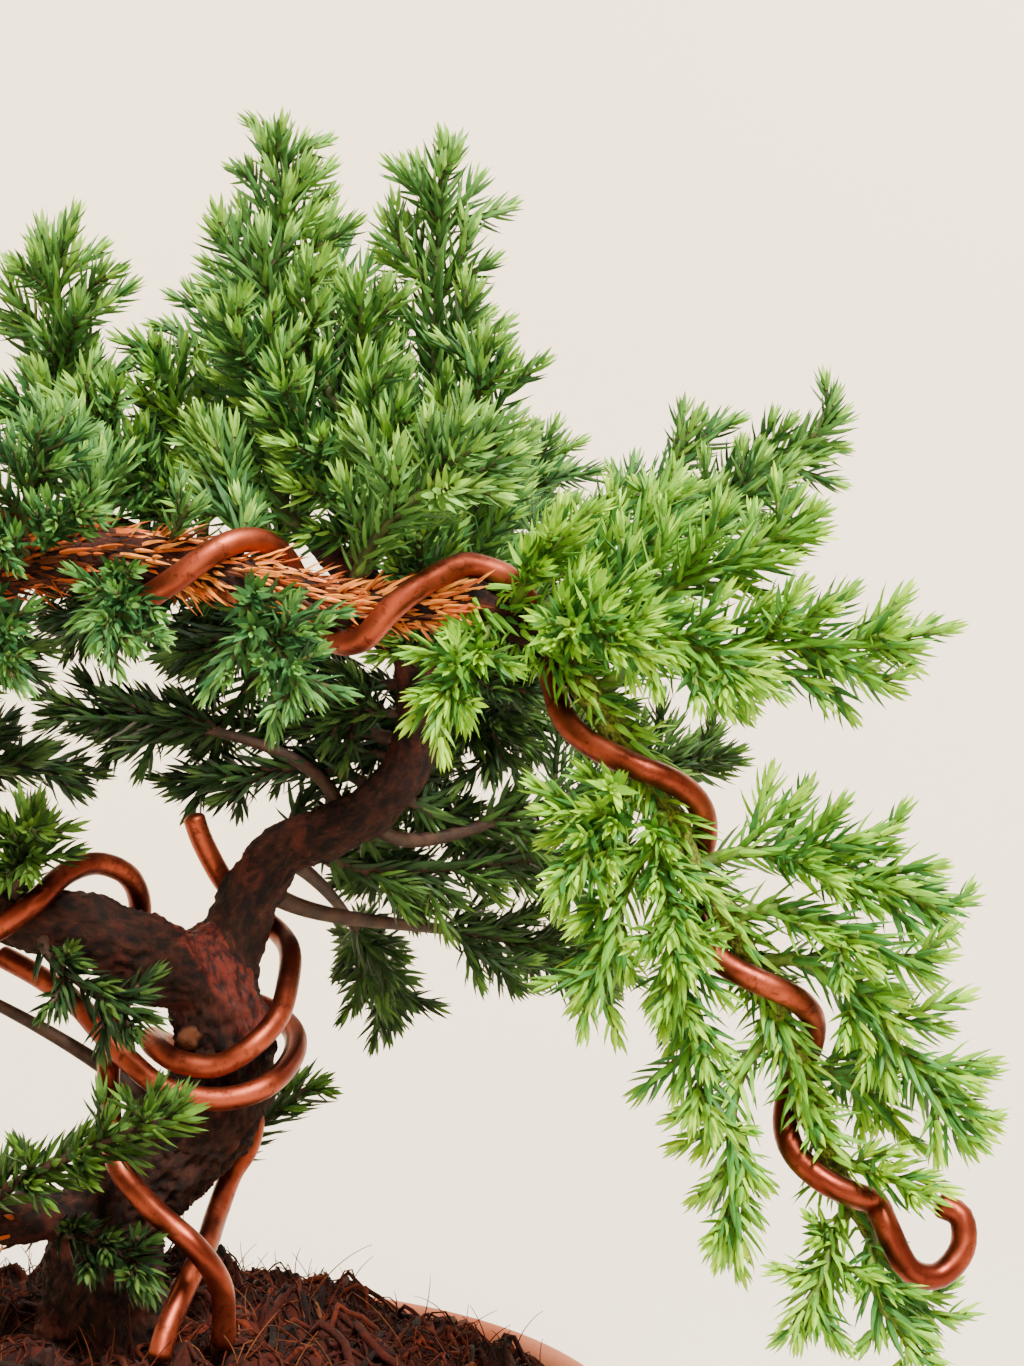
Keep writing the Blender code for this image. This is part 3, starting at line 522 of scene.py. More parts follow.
Stem = namedtuple("Stem", "limb share tip side bare bow many", defaults=(0.1, 1, 6))
masses = {
    "crown_leader": ("right_limb", 1.0, (26, 0, 290), 22, 0.15, 0, 7),
    "crown_shoulder": ("right_limb", 0.97, (14, -8, 272), 21, 0.15, 0, 5),
    "right_spire": ("right_limb", 0.9, (53, 6, 289), 19, 0.25, 0, 6),
    "right_shoulder": ("right_limb", 0.8, (60, -8, 255), 20, 0.15, 0, 6),
    "left_spire": ("crown_bough", 1.0, (-12, -4, 272), 19, 0.15, 0, 6),
    "mid_left": ("crown_bough", 0.72, (5, -6, 254), 20, 0.12, 0, 6),
    "rear_left": ("crown_bough", 0.55, (5, 48, 271), 19, 0.2, 0, 5),
    "rear_leader": ("crown_bough", 0.28, (31, 40, 282), 19, 0.2, 0, 5),
    "crown_front": ("right_limb", 0.94, (26, -30, 246), 18, 0.15, 0, 5),
    "front_tuft": ("right_limb", 0.87, (39, -28, 243), 17, 0.15, 0, 4),
    "front_right_tuft": ("right_limb", 0.76, (50, -34, 219), 15, 0.15, 3, 4),
    "dark_spire": ("rear_bough", 0.25, (60, 20, 236), 12, 0.3, 0, 3),
    "rear_spire": ("rear_bough", 0.72, (106, 38, 246), 16, 0.25, 0, 4),
    "rear_right": ("rear_bough", 1.0, (128, 34, 246), 15, 0.15, 0, 5),
    "rear_back": ("rear_bough", 0.5, (74, 85, 244), 18, 0.3, 3, 6),
    "bough_far_left": ("main_bough", 0.12, (-7, -50, 194), 16, 0.2, 2, 4),
    "bough_up_left": ("main_bough", 0.2, (-1, -44, 236), 17, 0.15, 0, 4),
    "bough_tuft_left": ("main_bough", 0.44, (9, -58, 199), 14, 0.2, 2, 4),
    "bough_tuft_mid": ("main_bough", 0.66, (36, -60, 191), 16, 0.2, 3, 4),
    "pad_top_left": ("main_bough", 0.83, (66, -38, 231), 16, 0.2, 3, 4),
    "pad_top_mid": ("cascade", 0.05, (92, -24, 229), 18, 0.2, 0, 5),
    "pad_right_upper": ("cascade", 0.09, (112, -42, 220), 18, 0.15, 2, 6),
    "pad_right_long": ("cascade", 0.14, (126, -48, 200), 17, 0.15, 2, 5),
    "pad_front_under": ("cascade", 0.02, (53, -56, 189), 14, 0.2, 2, 4),
    "cascade_left": ("cascade", 0.32, (71, -58, 164), 15, 0.2, 4, 4),
    "cascade_down": ("cascade", 0.41, (75, -52, 147), 14, 0.2, 4, 4),
    "cascade_right": ("cascade", 0.42, (130, -48, 160), 17, 0.15, 3, 5),
    "cascade_inner_down": ("cascade", 0.5, (93, -52, 128), 14, 0.2, 3, 4),
    "cascade_drop": ("cascade", 0.64, (98, -46, 109), 12, 0.2, 3, 4),
    "cascade_right_low": ("cascade", 0.67, (132, -46, 125), 14, 0.2, 4, 5),
    "cascade_end_left": ("cascade", 0.9, (101, -53, 103), 11, 0.15, 2, 3),
    "cascade_end": ("cascade", 1.0, (127, -37, 98), 12, 0.1, 0, 5),
    "mid_rear": ("right_limb", 0.47, (106, 40, 182), 17, 0.3, 3, 6),
    "rear_low_right": ("right_limb", 0.17, (86, 58, 136), 17, 0.45, 6, 6),
    "rear_low_mid": ("right_limb", 0.24, (42, 66, 126), 16, 0.45, 6, 5),
    "under_left": ("right_limb", 0.3, (-20, 14, 190), 15, 0.45, 4, 5),
    "left_limb_tuft": ("left_limb", 0.72, (-9, -30, 176), 12, 0.2, 0, 4),
    "limb_spray": ("left_limb", 0.55, (10, -24, 143), 11, 0.2, -3, 3),
    "front_low_spray": ("low_left_bough", 0.8, (19, -38, 132), 11, 0.2, 2, 5),
    "low_droop": ("low_left_bough", 0.35, (11, -28, 101), 11, 0.2, 4, 3),
    "low_left": ("low_left_bough", 1.0, (-46, -30, 127), 16, 0.15, 2, 5),
    "trunk_sprig": ("trunk", 0.5, (33, 12, 127), 9, 0.3, 0, 2),
    "far_left_low": ("trunk", 0.52, (-67, -4, 160), 17, 0.4, 4, 5),
    "far_left_mid": ("left_bend", 0.45, (-80, -26, 190), 18, 0.2, 4, 5),
    "far_left_top": ("left_bend", 0.8, (-56, -34, 236), 19, 0.15, 2, 5),
    "far_left_rear": ("left_bend", 0.6, (-70, 42, 205), 19, 0.25, 4, 6),
}
# as the rows above, for sprays too fine for the solids
sprays = {
    # crown, between its spires and down to the arching bough
    "crown_fill_front": ("crown_bough", 0.45, (38, -12, 262), 16, 0.1, 0, 6),
    "crown_fill_left": ("right_limb", 0.99, (16, -20, 257), 16, 0.1, 0, 6),
    "crown_fill_right": ("right_limb", 0.84, (50, -12, 238), 15, 0.1, 0, 5),
    "crown_fill_rear": ("right_limb", 0.88, (46, 22, 262), 17, 0.1, 0, 6),
    "crown_left_low": ("crown_bough", 0.95, (-22, -8, 246), 16, 0.1, 0, 6),
    "crown_left_front": ("crown_bough", 0.8, (-6, -20, 244), 15, 0.1, 0, 5),
    "crown_left_rear": ("crown_bough", 0.9, (-22, 24, 256), 17, 0.1, 0, 6),
    "bough_behind": ("main_bough", 0.3, (-8, -20, 238), 15, 0.1, 0, 5),
    "bough_behind_mid": ("main_bough", 0.55, (16, -18, 236), 15, 0.1, 0, 5),
    "bough_left_top": ("left_bend", 0.97, (-34, -34, 242), 16, 0.1, 0, 6),
    "bough_left_rear": ("left_bend", 0.9, (-32, 2, 230), 16, 0.15, 0, 6),
    "bough_sprig": ("main_bough", 0.47, (19, -44, 224), 8, 0.1, 0, 3),
    "bough_tuft_up": ("main_bough", 0.3, (5, -52, 222), 11, 0.1, 0, 5),
    "bough_tuft_far": ("main_bough", 0.2, (-14, -50, 216), 11, 0.1, 0, 5),
    # in the shade under the crown and behind
    "under_mid": ("crown_bough", 0.3, (32, 26, 184), 15, 0.1, 2, 6),
    "under_inner": ("crown_bough", 0.62, (10, 28, 190), 16, 0.1, 2, 6),
    "under_outer": ("crown_bough", 0.86, (-16, 22, 200), 15, 0.1, 2, 6),
    "under_front": ("crown_bough", 0.45, (18, 4, 196), 13, 0.1, 2, 5),
    "under_front_left": ("crown_bough", 0.72, (-6, 2, 202), 13, 0.1, 2, 5),
    "limb_inner": ("right_limb", 0.6, (30, 0, 190), 12, 0.1, 0, 5),
    "limb_right": ("right_limb", 0.62, (72, 14, 190), 15, 0.15, 0, 6),
    "limb_right_low": ("right_limb", 0.4, (48, 30, 176), 14),
    "limb_right_near": ("right_limb", 0.5, (56, 26, 186), 14),
    "limb_behind": ("right_limb", 0.3, (40, 30, 192), 14, 0.2, 2, 6),
    "limb_below": ("right_limb", 0.6, (37, 24, 180), 12, 0.1, 1, 5),
    "under_between": ("crown_bough", 0.45, (6, 18, 188), 14),
    "under_high_left": ("crown_bough", 0.9, (-20, 8, 210), 14),
    "under_high_mid": ("crown_bough", 0.6, (8, 8, 208), 13, 0.1, 0, 6),
    "under_mid_left": ("right_limb", 0.7, (14, 28, 187), 14, 0.2, 1, 6),
    "under_gap_left": ("right_limb", 0.82, (2, 14, 198), 14, 0.2, 1, 6),
    "under_far_left": ("crown_bough", 0.8, (-14, 12, 202), 14),
    "limb_near": ("rear_bough", 0.12, (42, 22, 193), 13),
    "right_gap": ("rear_bough", 0.3, (60, 26, 178), 14),
    "rear_low_gap": ("rear_bough", 0.5, (36, 46, 158), 14, 0.4, 1, 6),
    "under_low_left": ("left_bend", 0.3, (-10, 22, 180), 14, 0.2, 2, 6),
    "under_left_near": ("left_bend", 0.3, (-24, 2, 196), 13, 0.1, 1, 5),
    "under_hang": ("crown_bough", 0.3, (11, 28, 177), 14),
    "under_back_left": ("crown_bough", 0.8, (-18, 36, 204), 15),
    "under_back_mid": ("crown_bough", 0.6, (0, 36, 198), 15),
    "under_back_right": ("crown_bough", 0.4, (22, 38, 194), 15),
    "under_low_mid": ("right_limb", 0.45, (2, 22, 178), 14),
    "under_low_back": ("right_limb", 0.55, (-14, 34, 188), 14),
    "under_low_far": ("left_bend", 0.4, (-24, 22, 184), 14),
    "bend_low": ("left_bend", 0.5, (-24, 16, 194), 14, 0.15, 1, 6),
    "limb_left_low": ("right_limb", 0.5, (22, 20, 182), 14, 0.15, 0, 5),
    "limb_right_high": ("right_limb", 0.7, (68, 10, 212), 14, 0.15, 0, 5),
    "rear_right_fill": ("rear_bough", 0.85, (116, 32, 234), 14, 0.1, 0, 6),
    "rear_hang": ("rear_bough", 0.4, (72, 46, 182), 16, 0.15, 2, 6),
    "rear_hang_far": ("rear_bough", 0.8, (98, 46, 200), 15, 0.15, 2, 5),
    "rear_hang_mid": ("rear_bough", 0.62, (88, 52, 176), 15, 0.15, 2, 6),
    "rear_low_fill": ("right_limb", 0.45, (66, 46, 156), 15, 0.35, 3, 6),
    "rear_low_fill_right": ("right_limb", 0.33, (88, 44, 160), 15, 0.35, 4, 6),
    "rear_low_fill_left": ("right_limb", 0.4, (46, 50, 150), 14, 0.45, 2, 6),
    "bend_rear": ("left_bend", 0.35, (-44, 14, 198), 16, 0.2, 0, 6),
    "bend_inner": ("left_bend", 0.75, (-14, 2, 200), 14, 0.2, 2, 5),
    # pads and cascade
    "pad_inner": ("cascade", 0.03, (76, -50, 219), 14, 0.1, 2, 5),
    "pad_low": ("cascade", 0.12, (102, -58, 194), 14, 0.1, 2, 5),
    "pad_front": ("cascade", 0.09, (84, -62, 200), 13, 0.1, 2, 5),
    "cascade_right_under": ("cascade", 0.52, (126, -53, 151), 14, 0.1, 3, 6),
    "cascade_front_low": ("cascade", 0.44, (88, -62, 151), 11, 0.1, 2, 4),
    "cascade_outer_low": ("cascade", 0.74, (124, -38, 128), 11, 0.1, 2, 4),
    "cascade_tip": ("cascade", 0.96, (124, -50, 101), 9, 0.1, 0, 3),
    "cascade_tuft": ("cascade", 0.94, (126, -56, 122), 8, 0.1, 0, 4),
}
# stems that show bare wood near the limb, as low and shaded ones do
bareStems = (
    "mid_rear", "rear_low_right", "rear_low_mid", "under_left", "far_left_low", "far_left_mid",
    "low_left", "far_left_rear", "rear_back",
)
for table in (masses, sprays):
    for name, row in table.items():
        table[name] = Stem(*row)
growth = {
    "gap": 0.35, "needleRoom": 4.4, "tipLength": 5.2, "core": 0.95, "taper": 0.016,
    "bareSpacing": 6, "stemSpacing": 8, "lean": 40, "upturn": 0.16, "shortest": 7.5,
    "lowest": None, "facing": 2, "goldenAngle": 137.5, "perSolid": 3, "limbStep": 6.5,
    "shifts": (0, 0.02, -0.02, 0.04, -0.04, 0.06, -0.06), "sways": (0, 7, -7, 14, -14),
    "scales": (1, 0.8, 0.62), "turns": (0, 25, -25, 50, -50), "bareReach": 2.5,
    "ballTop": 88, "rim": 86,
}
fineGrowth = {
    "room": 2.4, "axisRadius": 1.2, "shortest": 8, "lean": 34, "lowest": 0.07, "facing": 0.8,
    "twigStart": 3.2, "twigStep": 8, "twigShare": 0.9, "twigLength": 15, "twigShortest": 7.5,
    "twigRoom": 2.8, "twigTurns": (0, 40, -40, 80, -80), "bareStart": 1.5, "stemStart": 4,
}


class Space:
    # balls along every centre line that is already placed, with the line each belongs to
    def __init__(self, wood):
        self.centres = np.zeros((0, 3))
        self.radii = np.zeros(0)
        self.owners = np.zeros(0, int)
        self.names = {}
        for name, rows in wood.items():
            self.add(name, rows[:, :3], rows[:, 3])

    def add(self, name, centres, radii):
        number = self.names.setdefault(name, len(self.names))
        self.centres = np.concatenate([self.centres, centres])
        self.radii = np.concatenate([self.radii, np.broadcast_to(radii, len(centres))])
        self.owners = np.concatenate([self.owners, np.full(len(centres), number)])

    def familyOf(self, name):
        # all the lines of one mass
        return [other for other in self.names if other.split(":")[0] == name]

    def room(self, centres, skip):
        # free distance from each centre to anything that isn't skipped
        low, high = centres.min(axis=0) - 20, centres.max(axis=0) + 20
        keep = ((self.centres > low) & (self.centres < high)).all(axis=1)
        for name in skip:
            if name in self.names:
                keep &= self.owners != self.names[name]
        room = np.full(len(centres), 20.0)
        if keep.any():
            offsets = centres[:, None, :] - self.centres[None, keep, :]
            free = np.linalg.norm(offsets, axis=2) - self.radii[None, keep]
            room = np.minimum(free.min(axis=1) - growth["gap"], 20.0)
        overPot = np.hypot(centres[:, 0], centres[:, 1]) < growth["rim"] + 6
        above = np.where(overPot, centres[:, 2] - growth["ballTop"] - 1, 99)
        return np.minimum(room, above)


def stemLine(points, row, shift, sway):
    # from the limb's surface to the tip, bowed up and swayed aside
    length = stationsOf(points)[-1]
    tip = Vector(row.tip)
    if row.share >= 1:
        axis, leave = atStation(points, length)
        root = Vector(axis[:3]) + leave * (growth["gap"] + 0.1)
    else:
        axis, tangent = atStation(points, length * (row.share + shift))
        centre = Vector(axis[:3])
        away = tip - centre
        leave = (away - tangent * away.dot(tangent)).normalized()
        root = centre + leave * (axis[3] + growth["gap"] + 0.1)
    reach = (tip - root).length
    across = (tip - root).cross(up).normalized()
    first = root + leave * reach * 0.22
    middle = root.lerp(tip, 0.62) + up * row.bow * 1.4 + across * sway
    return bezier(root, first, middle, tip, 40)


def ringMarks(length, start):
    # where the solids' rings stand along a stem
    whorlRoom = length - growth["tipLength"] - start
    whorls = max(1, round(whorlRoom / growth["stemSpacing"]) + 1)
    bare = max(1, round(start / growth["bareSpacing"]))
    marks = [start * i / bare for i in range(bare)]
    return marks + [start + whorlRoom * i / max(1, whorls - 1) for i in range(whorls)]


def planStem(name, row, curves, space):
    # the placing that leaves most of the stem free to carry needles
    best = None
    points = curves[row.limb]
    for sway in growth["sways"]:
        for shift in growth["shifts"]:
            if row.share + shift > 1 or (row.share >= 1 and shift):
                continue
            line = stemLine(points, row, shift, sway)
            marks = stationsOf(line)
            core = growth["core"] + growth["taper"] * marks[-1] * (1 - marks / marks[-1])
            clearOfParent = marks > (2 if row.share < 1 else points[-1, 3] + 2)
            free = space.room(line, (name,))
            freeOfOthers = space.room(line, (name, row.limb))
            if (freeOfOthers < core).any() or (free[clearOfParent] < core[clearOfParent]).any():
                continue
            tight = np.nonzero(free < growth["needleRoom"])[0]
            start = max(marks[tight[-1]] if len(tight) else 0, row.bare * marks[-1])
            rings = [rowAt(line, marks, mark) for mark in ringMarks(marks[-1], start)]
            chords = resample(np.array(rings + [line[-1]]), 1.2)
            kept = stationsOf(chords) > clearOfParent.argmax() * marks[-1] / 40
            if (space.room(chords, (name,))[kept] < growth["core"] + 0.5).any():
                continue
            score = marks[-1] - start - 0.15 * abs(sway) - 20 * abs(shift)
            if best is None or score > best[0] + 0.5:
                best = (score, line, start)
        if best and best[2] < 0.5 * stationsOf(best[1])[-1]:
            break
    return best


def shootPath(root, aim, tangent, full):
    middle = root + aim * full * 0.5
    curl = (tangent * 0.6 + up * 0.5) * growth["upturn"]
    tip = root + (aim + curl).normalized() * full
    return bezier(root, root.lerp(middle, 0.7), middle.lerp(tip, 0.4), tip, 14)


def firstFit(station, azimuth, lean, lengths, turns, facing, fits):
    # the first shoot from the station, by length and then by turn, that fits
    centre, tangent = station
    seed = up if abs(tangent.z) < 0.8 else front
    across = (seed - tangent * seed.dot(tangent)).normalized()
    for full in lengths:
        for turn in turns:
            out = Matrix.Rotation(math.radians(azimuth + turn), 3, tangent) @ across
            if abs(out.dot(front)) > facing:
                continue
            aim = tangent * math.cos(lean) + out * math.sin(lean)
            path = shootPath(Vector(centre), aim, tangent, full)
            if fits(path):
                return path
    return None


def planShoot(name, number, grown, row, rule, fits):
    length = stationsOf(grown["line"])[-1]
    low = rule["lowest"] or max(0.7 * row.bare, (grown["start"] - 3) / length)
    share = low + (0.93 - low) * (number + 0.5) / (row.many * growth["perSolid"])
    station = atStation(grown["line"], length * share)
    dice = random.Random(f"{name}:{number}")
    azimuth = growth["goldenAngle"] * number + dice.uniform(-18, 18)
    lean = math.radians(rule["lean"] + dice.uniform(-7, 7))
    full = min(row.side, 5 + 0.6 * length * (1 - share)) * dice.uniform(0.88, 1.08)
    lengths = [full * scale for scale in growth["scales"] if full * scale >= rule["shortest"]]
    return firstFit(station, azimuth, lean, lengths, growth["turns"], rule["facing"], fits)


def shootRadii(path):
    # bare near the parent, then as deep as its needles
    return np.where(stationsOf(path) < growth["bareReach"], growth["core"], growth["needleRoom"])


def fitsFinely(path, space, name):
    # clear of limbs and other masses by a needle's depth, and of its own mass further out
    marks = stationsOf(path)
    others = np.where(marks < growth["bareReach"], 0.6, fineGrowth["room"])
    if (space.room(path, space.familyOf(name)) < others).any():
        return False
    own = np.clip(0.5 * marks - 2.2, -9, fineGrowth["twigRoom"])
    return (space.room(path, ()) >= own).all()


def planFoliage(curves, wood):
    # the stems and side shoots of the solids
    space = Space(wood)
    plan = {}
    for name, row in masses.items():
        found = planStem(name, row, curves, space)
        if found:
            _, line, start = found
            plan[name] = {"line": line, "start": start, "shoots": [], "twigs": []}
            bare = stationsOf(line) < start - 1
            space.add(name, line, np.where(bare, growth["core"] + 1, growth["needleRoom"]))
    for turn in range(max(row.many for row in masses.values())):
        for name, grown in plan.items():
            if turn >= masses[name].many:
                continue
            path = planShoot(
                name, turn * growth["perSolid"] + 1, grown, masses[name], growth,
                lambda path: (space.room(path, (name,)) >= shootRadii(path)).all())
            if path is not None:
                grown["shoots"].append(path)
                space.add(name, path, shootRadii(path))
    return plan


def growFiner(plan, curves, wood):
    # the rule's other side shoots, the fine sprays, then twigs on every side shoot
    space = Space(wood)
    thick = fineGrowth["axisRadius"]
    for name, grown in plan.items():
        space.add(name + ":", grown["line"], thick)
        for i, path in enumerate(grown["shoots"]):
            space.add(f"{name}:{i}", path, thick)
    for name, row in sprays.items():
        found = planStem(name, row, curves, space)
        if found:
            start = min(found[2], fineGrowth["stemStart"])
            plan[name] = {"line": found[1], "start": start, "shoots": [], "twigs": []}
            space.add(name + ":", found[1], thick)
        else:
            print("no room for", name)
    rows = {**masses, **sprays}
    perSolid = growth["perSolid"]
    for turn in range(max(row.many for row in rows.values()) * perSolid):
        for name, grown in plan.items():
            inSolids = name in masses and turn % perSolid == 1
            if turn >= rows[name].many * perSolid or inSolids:
                continue
            rule = {**fineGrowth, "lowest": None} if name in bareStems else fineGrowth
            path = planShoot(
                name, turn, grown, rows[name], rule, lambda path: fitsFinely(path, space, name))
            if path is not None:
                space.add(f"{name}:{len(grown['shoots'])}", path, thick)
                grown["shoots"].append(path)
    for name, grown in plan.items():
        for i, parent in enumerate(list(grown["shoots"])):
            growTwigs(f"{name}:{i}", name, parent, grown["twigs"], space)
        if name not in bareStems:
            grown["start"] = fineGrowth["bareStart"]


def growTwigs(parentName, mass, parent, twigs, space):
    length = stationsOf(parent)[-1]
    dice = random.Random(parentName)
    along = fineGrowth["twigStart"]
    azimuth = dice.uniform(0, 360)
    while along < length - 5:
        lean = math.radians(fineGrowth["lean"] + dice.uniform(-3, 8))
        limit = min(fineGrowth["twigLength"], 3.5 + fineGrowth["twigShare"] * (length - along))
        full = limit * dice.uniform(0.85, 1.1)
        lengths = [full] if full >= fineGrowth["twigShortest"] else []
        path = firstFit(
            atStation(parent, along), azimuth, lean, lengths, fineGrowth["twigTurns"],
            fineGrowth["facing"], lambda path: fitsFinely(path, space, mass))
        if path is not None:
            space.add(f"{mass}:twig", path, fineGrowth["axisRadius"])
            twigs.append(path)
        azimuth += growth["goldenAngle"]
        along += fineGrowth["twigStep"]


# Needles. A whorl has three; each needle is a boat shape with a channel above and a keel below.

needleLook = {
    "length": 6.5, "width": 1.22, "spacing": 1.56, "tipSpacing": 0.8, "lean": 44, "tipLean": 11,
    "leanRange": 6.5, "curve": 0.1, "tipReach": 4.2, "keel": 0.42, "stemLength": 7.2, "root": 0.3,
    "twigShare": 0.92, "clear": 0.25,
}
needleSizes = {"blue": 0.8, "fresh": 0.94, "young": 0.94}
# along a needle: share, half width and depth as shares of the full ones
needleRings = ((0, 0.78, 0.7), (0.3, 1.0, 1.0), (0.68, 0.64, 0.7))
needleFinish = {"roughness": 0.52, "specular": 0.14, "grain": (260, 2), "edges": (0.35, 0.65)}

# plain base colours, dealt out by spray and by nearness to the shoot's tip: deep, mid, light, tip.
# Some palettes hold painted light or shade, as noted at each
greens = {
    "spire": ((54, 94, 42), (78, 124, 54), (100, 148, 60), (128, 176, 64)),
    "crown": ((46, 86, 40), (70, 116, 50), (94, 142, 56), (120, 168, 60)),
    "blue": ((34, 72, 36), (50, 92, 46), (68, 114, 52), (90, 138, 60)),
    # fresh and young: the yellow-green of new growth, partly made brighter as painted light for the
    # glow of light through the needles
    "fresh": ((52, 102, 40), (84, 138, 38), (110, 162, 40), (136, 184, 42)),
    "young": ((60, 112, 44), (94, 150, 38), (124, 176, 38), (150, 194, 42)),
    # painted shade: greens darker than the crown's, for the sprays low and behind
    "half_shade": ((30, 52, 22), (42, 70, 28), (54, 86, 32), (74, 110, 38)),
    # painted shade: the darkest greens, for the sprays under the crown
    "shade": ((22, 40, 18), (30, 54, 24), (42, 68, 28), (58, 84, 34)),
}
browns = {"tan": (214, 130, 52), "rust": (160, 76, 28), "brown": (84, 42, 22)}
toneNames = ("deep", "mid", "light", "tip")
channelLift = (1.18, 1.13, 1.14)
paintsMade = {}


def lifted(colour, lift):
    return tuple(min(255, value * more) for value, more in zip(colour, lift))


def needlePaint(name, colour):
    darker, lighter = lifted(colour, (0.88, 0.88, 0.84)), lifted(colour, (1.08, 1.06, 1.12))
    return speckled(name, needleFinish, darker, lighter)


def needlePaints(palette):
    # for each tone the outer side and the paler channel, then the browns
    if palette not in paintsMade:
        made = []
        for tone, colour in zip(toneNames, greens[palette]):
            made.append(needlePaint(f"{palette}_{tone}", colour))
            made.append(needlePaint(f"{palette}_{tone}_channel", lifted(colour, channelLift)))
        made += [needlePaint(f"{palette}_{tone}", colour) for tone, colour in browns.items()]
        paintsMade[palette] = made
    return paintsMade[palette]


def addWhorl(rows, spot, turn, count, lean, length, tone, dice, root):
    # a needle's row: base, direction, inward direction, length, number of its tone
    centre, tangent, across, over = spot
    for k in range(count):
        angle = turn + math.tau * k / count + dice.uniform(-0.16, 0.16)
        out = across * math.cos(angle) + over * math.sin(angle)
        tilt = math.radians(lean + dice.uniform(-5, 5))
        aim = tangent * math.cos(tilt) + out * math.sin(tilt)
        inward = tangent * math.sin(tilt) - out * math.cos(tilt)
        size = length * dice.uniform(0.88, 1.08)
        own = tone
        if tone < len(toneNames):
            own = min(3, max(0, tone + dice.choice((-1, 0, 0, 0, 1))))
        rows.append((*(centre + out * root), *aim, *inward, size, own))


def alongShoot(rows, path, first, seed, fullLength, root):
    # whorls from the first station to the tip
    dice = random.Random(seed)
    marks = stationsOf(path)
    end = marks[-1] - needleLook["tipReach"]
    if end <= first:
        first = max(0.5, end - 2)
    frames = ringFrames(path)
    base = 1 if dice.random() < 0.62 else 0
    if dice.random() < 0.12:
        base = 2
    along = first
    turn = dice.uniform(0, math.tau)
    while along <= end:
        left = end - along
        i = min(int(np.searchsorted(marks, along)), len(marks) - 1)
        spot = (rowAt(path, marks, along), *(axes[i] for axes in frames))
        grown = min(1, left / needleLook["leanRange"]) ** 0.7
        lean = needleLook["tipLean"] + (needleLook["lean"] - needleLook["tipLean"]) * grown
        length = fullLength * (0.56 + 0.44 * min(1, left / 5))
        length *= 0.8 + 0.2 * min(1, (along - first) / 4)
        tone = base
        if left < 0.9:
            tone = 3
        elif left < 2.6:
            tone = min(3, max(base, 1) + 1)
        if dice.random() < 0.1:
            tone = max(0, tone - 1)
        addWhorl(rows, spot, turn, 3, lean, length, tone, dice, root)
        turn += math.pi / 3 + dice.uniform(-0.1, 0.1)
        wider = (needleLook["spacing"] - needleLook["tipSpacing"]) * min(1, left / 4)
        along += (needleLook["tipSpacing"] + wider) * dice.uniform(0.9, 1.1)


def clearOf(rows, obstacles):
    # keeps the needles that pass no limb or wire
    keep = np.ones(len(rows), bool)
    for start in range(0, len(rows), 4000):
        part = rows[start:start + 4000]
        for share in (0.3, 0.65, 1.0):
            points = part[:, :3] + part[:, 3:6] * part[:, 9:10] * share
            gap = np.linalg.norm(points[:, None, :] - obstacles[None, :, :3], axis=2)
            gap -= obstacles[None, :, 3]
            keep[start:start + 4000] &= (gap > needleLook["clear"]).all(axis=1)
    return rows[keep]


def needleShape(rows, slim):
    # all the needles of the rows at once: vertices, faces and the material's number of each face
    base, aim, inward, length = rows[:, :3], rows[:, 3:6], rows[:, 6:9], rows[:, 9:10]
    side = np.cross(aim, inward)
    size = 0.45 + 0.55 * length / needleLook["length"]
    width = needleLook["width"] * slim * size / 2
    keel = needleLook["keel"] * size
    rings = []
    for share, wide, deep in needleRings:
        middle = base + aim * length * share + inward * length * needleLook["curve"] * share ** 2
        rings.append(middle + side * width * wide)
        rings.append(middle - side * width * wide)
        rings.append(middle - inward * keel * deep)
    rings.append(base + aim * length + inward * length * needleLook["curve"])
    last = (len(needleRings) - 1) * 3
    corners = ((0, 1), (1, 2), (2, 0))  # channel, then the two sides of the keel
    quads = [(i + b, i + a, i + a + 3, i + b + 3) for i in range(0, last, 3) for a, b in corners]
    tips = [(last + b, last + a, last + 3) for a, b in corners] + [(0, 1, 2)]
    channels = ([True, False, False] * (len(needleRings) - 1), [True, False, False, False])
    tone = rows[:, 10].astype(int)
    green = tone < len(toneNames)
    outer = np.where(green, tone * 2, tone + len(toneNames))[:, None]
    offsets = np.arange(len(rows))[:, None, None] * len(rings)
    faces = [(np.array(f)[None] + offsets).reshape(-1, len(f[0])) for f in (quads, tips)]
    slots = [(outer + np.array(c)[None] * green[:, None]).ravel() for c in channels]
    return np.stack(rings, axis=1).reshape(-1, 3), faces, slots


def finishNeedles(name, rows, obstacles, palette, slim=1.0):
    batch = Batch()
    batch.add(needleShape(clearOf(np.array(rows), obstacles), slim))
    return batch.finish(name, needlePaints(palette), smooth=False)


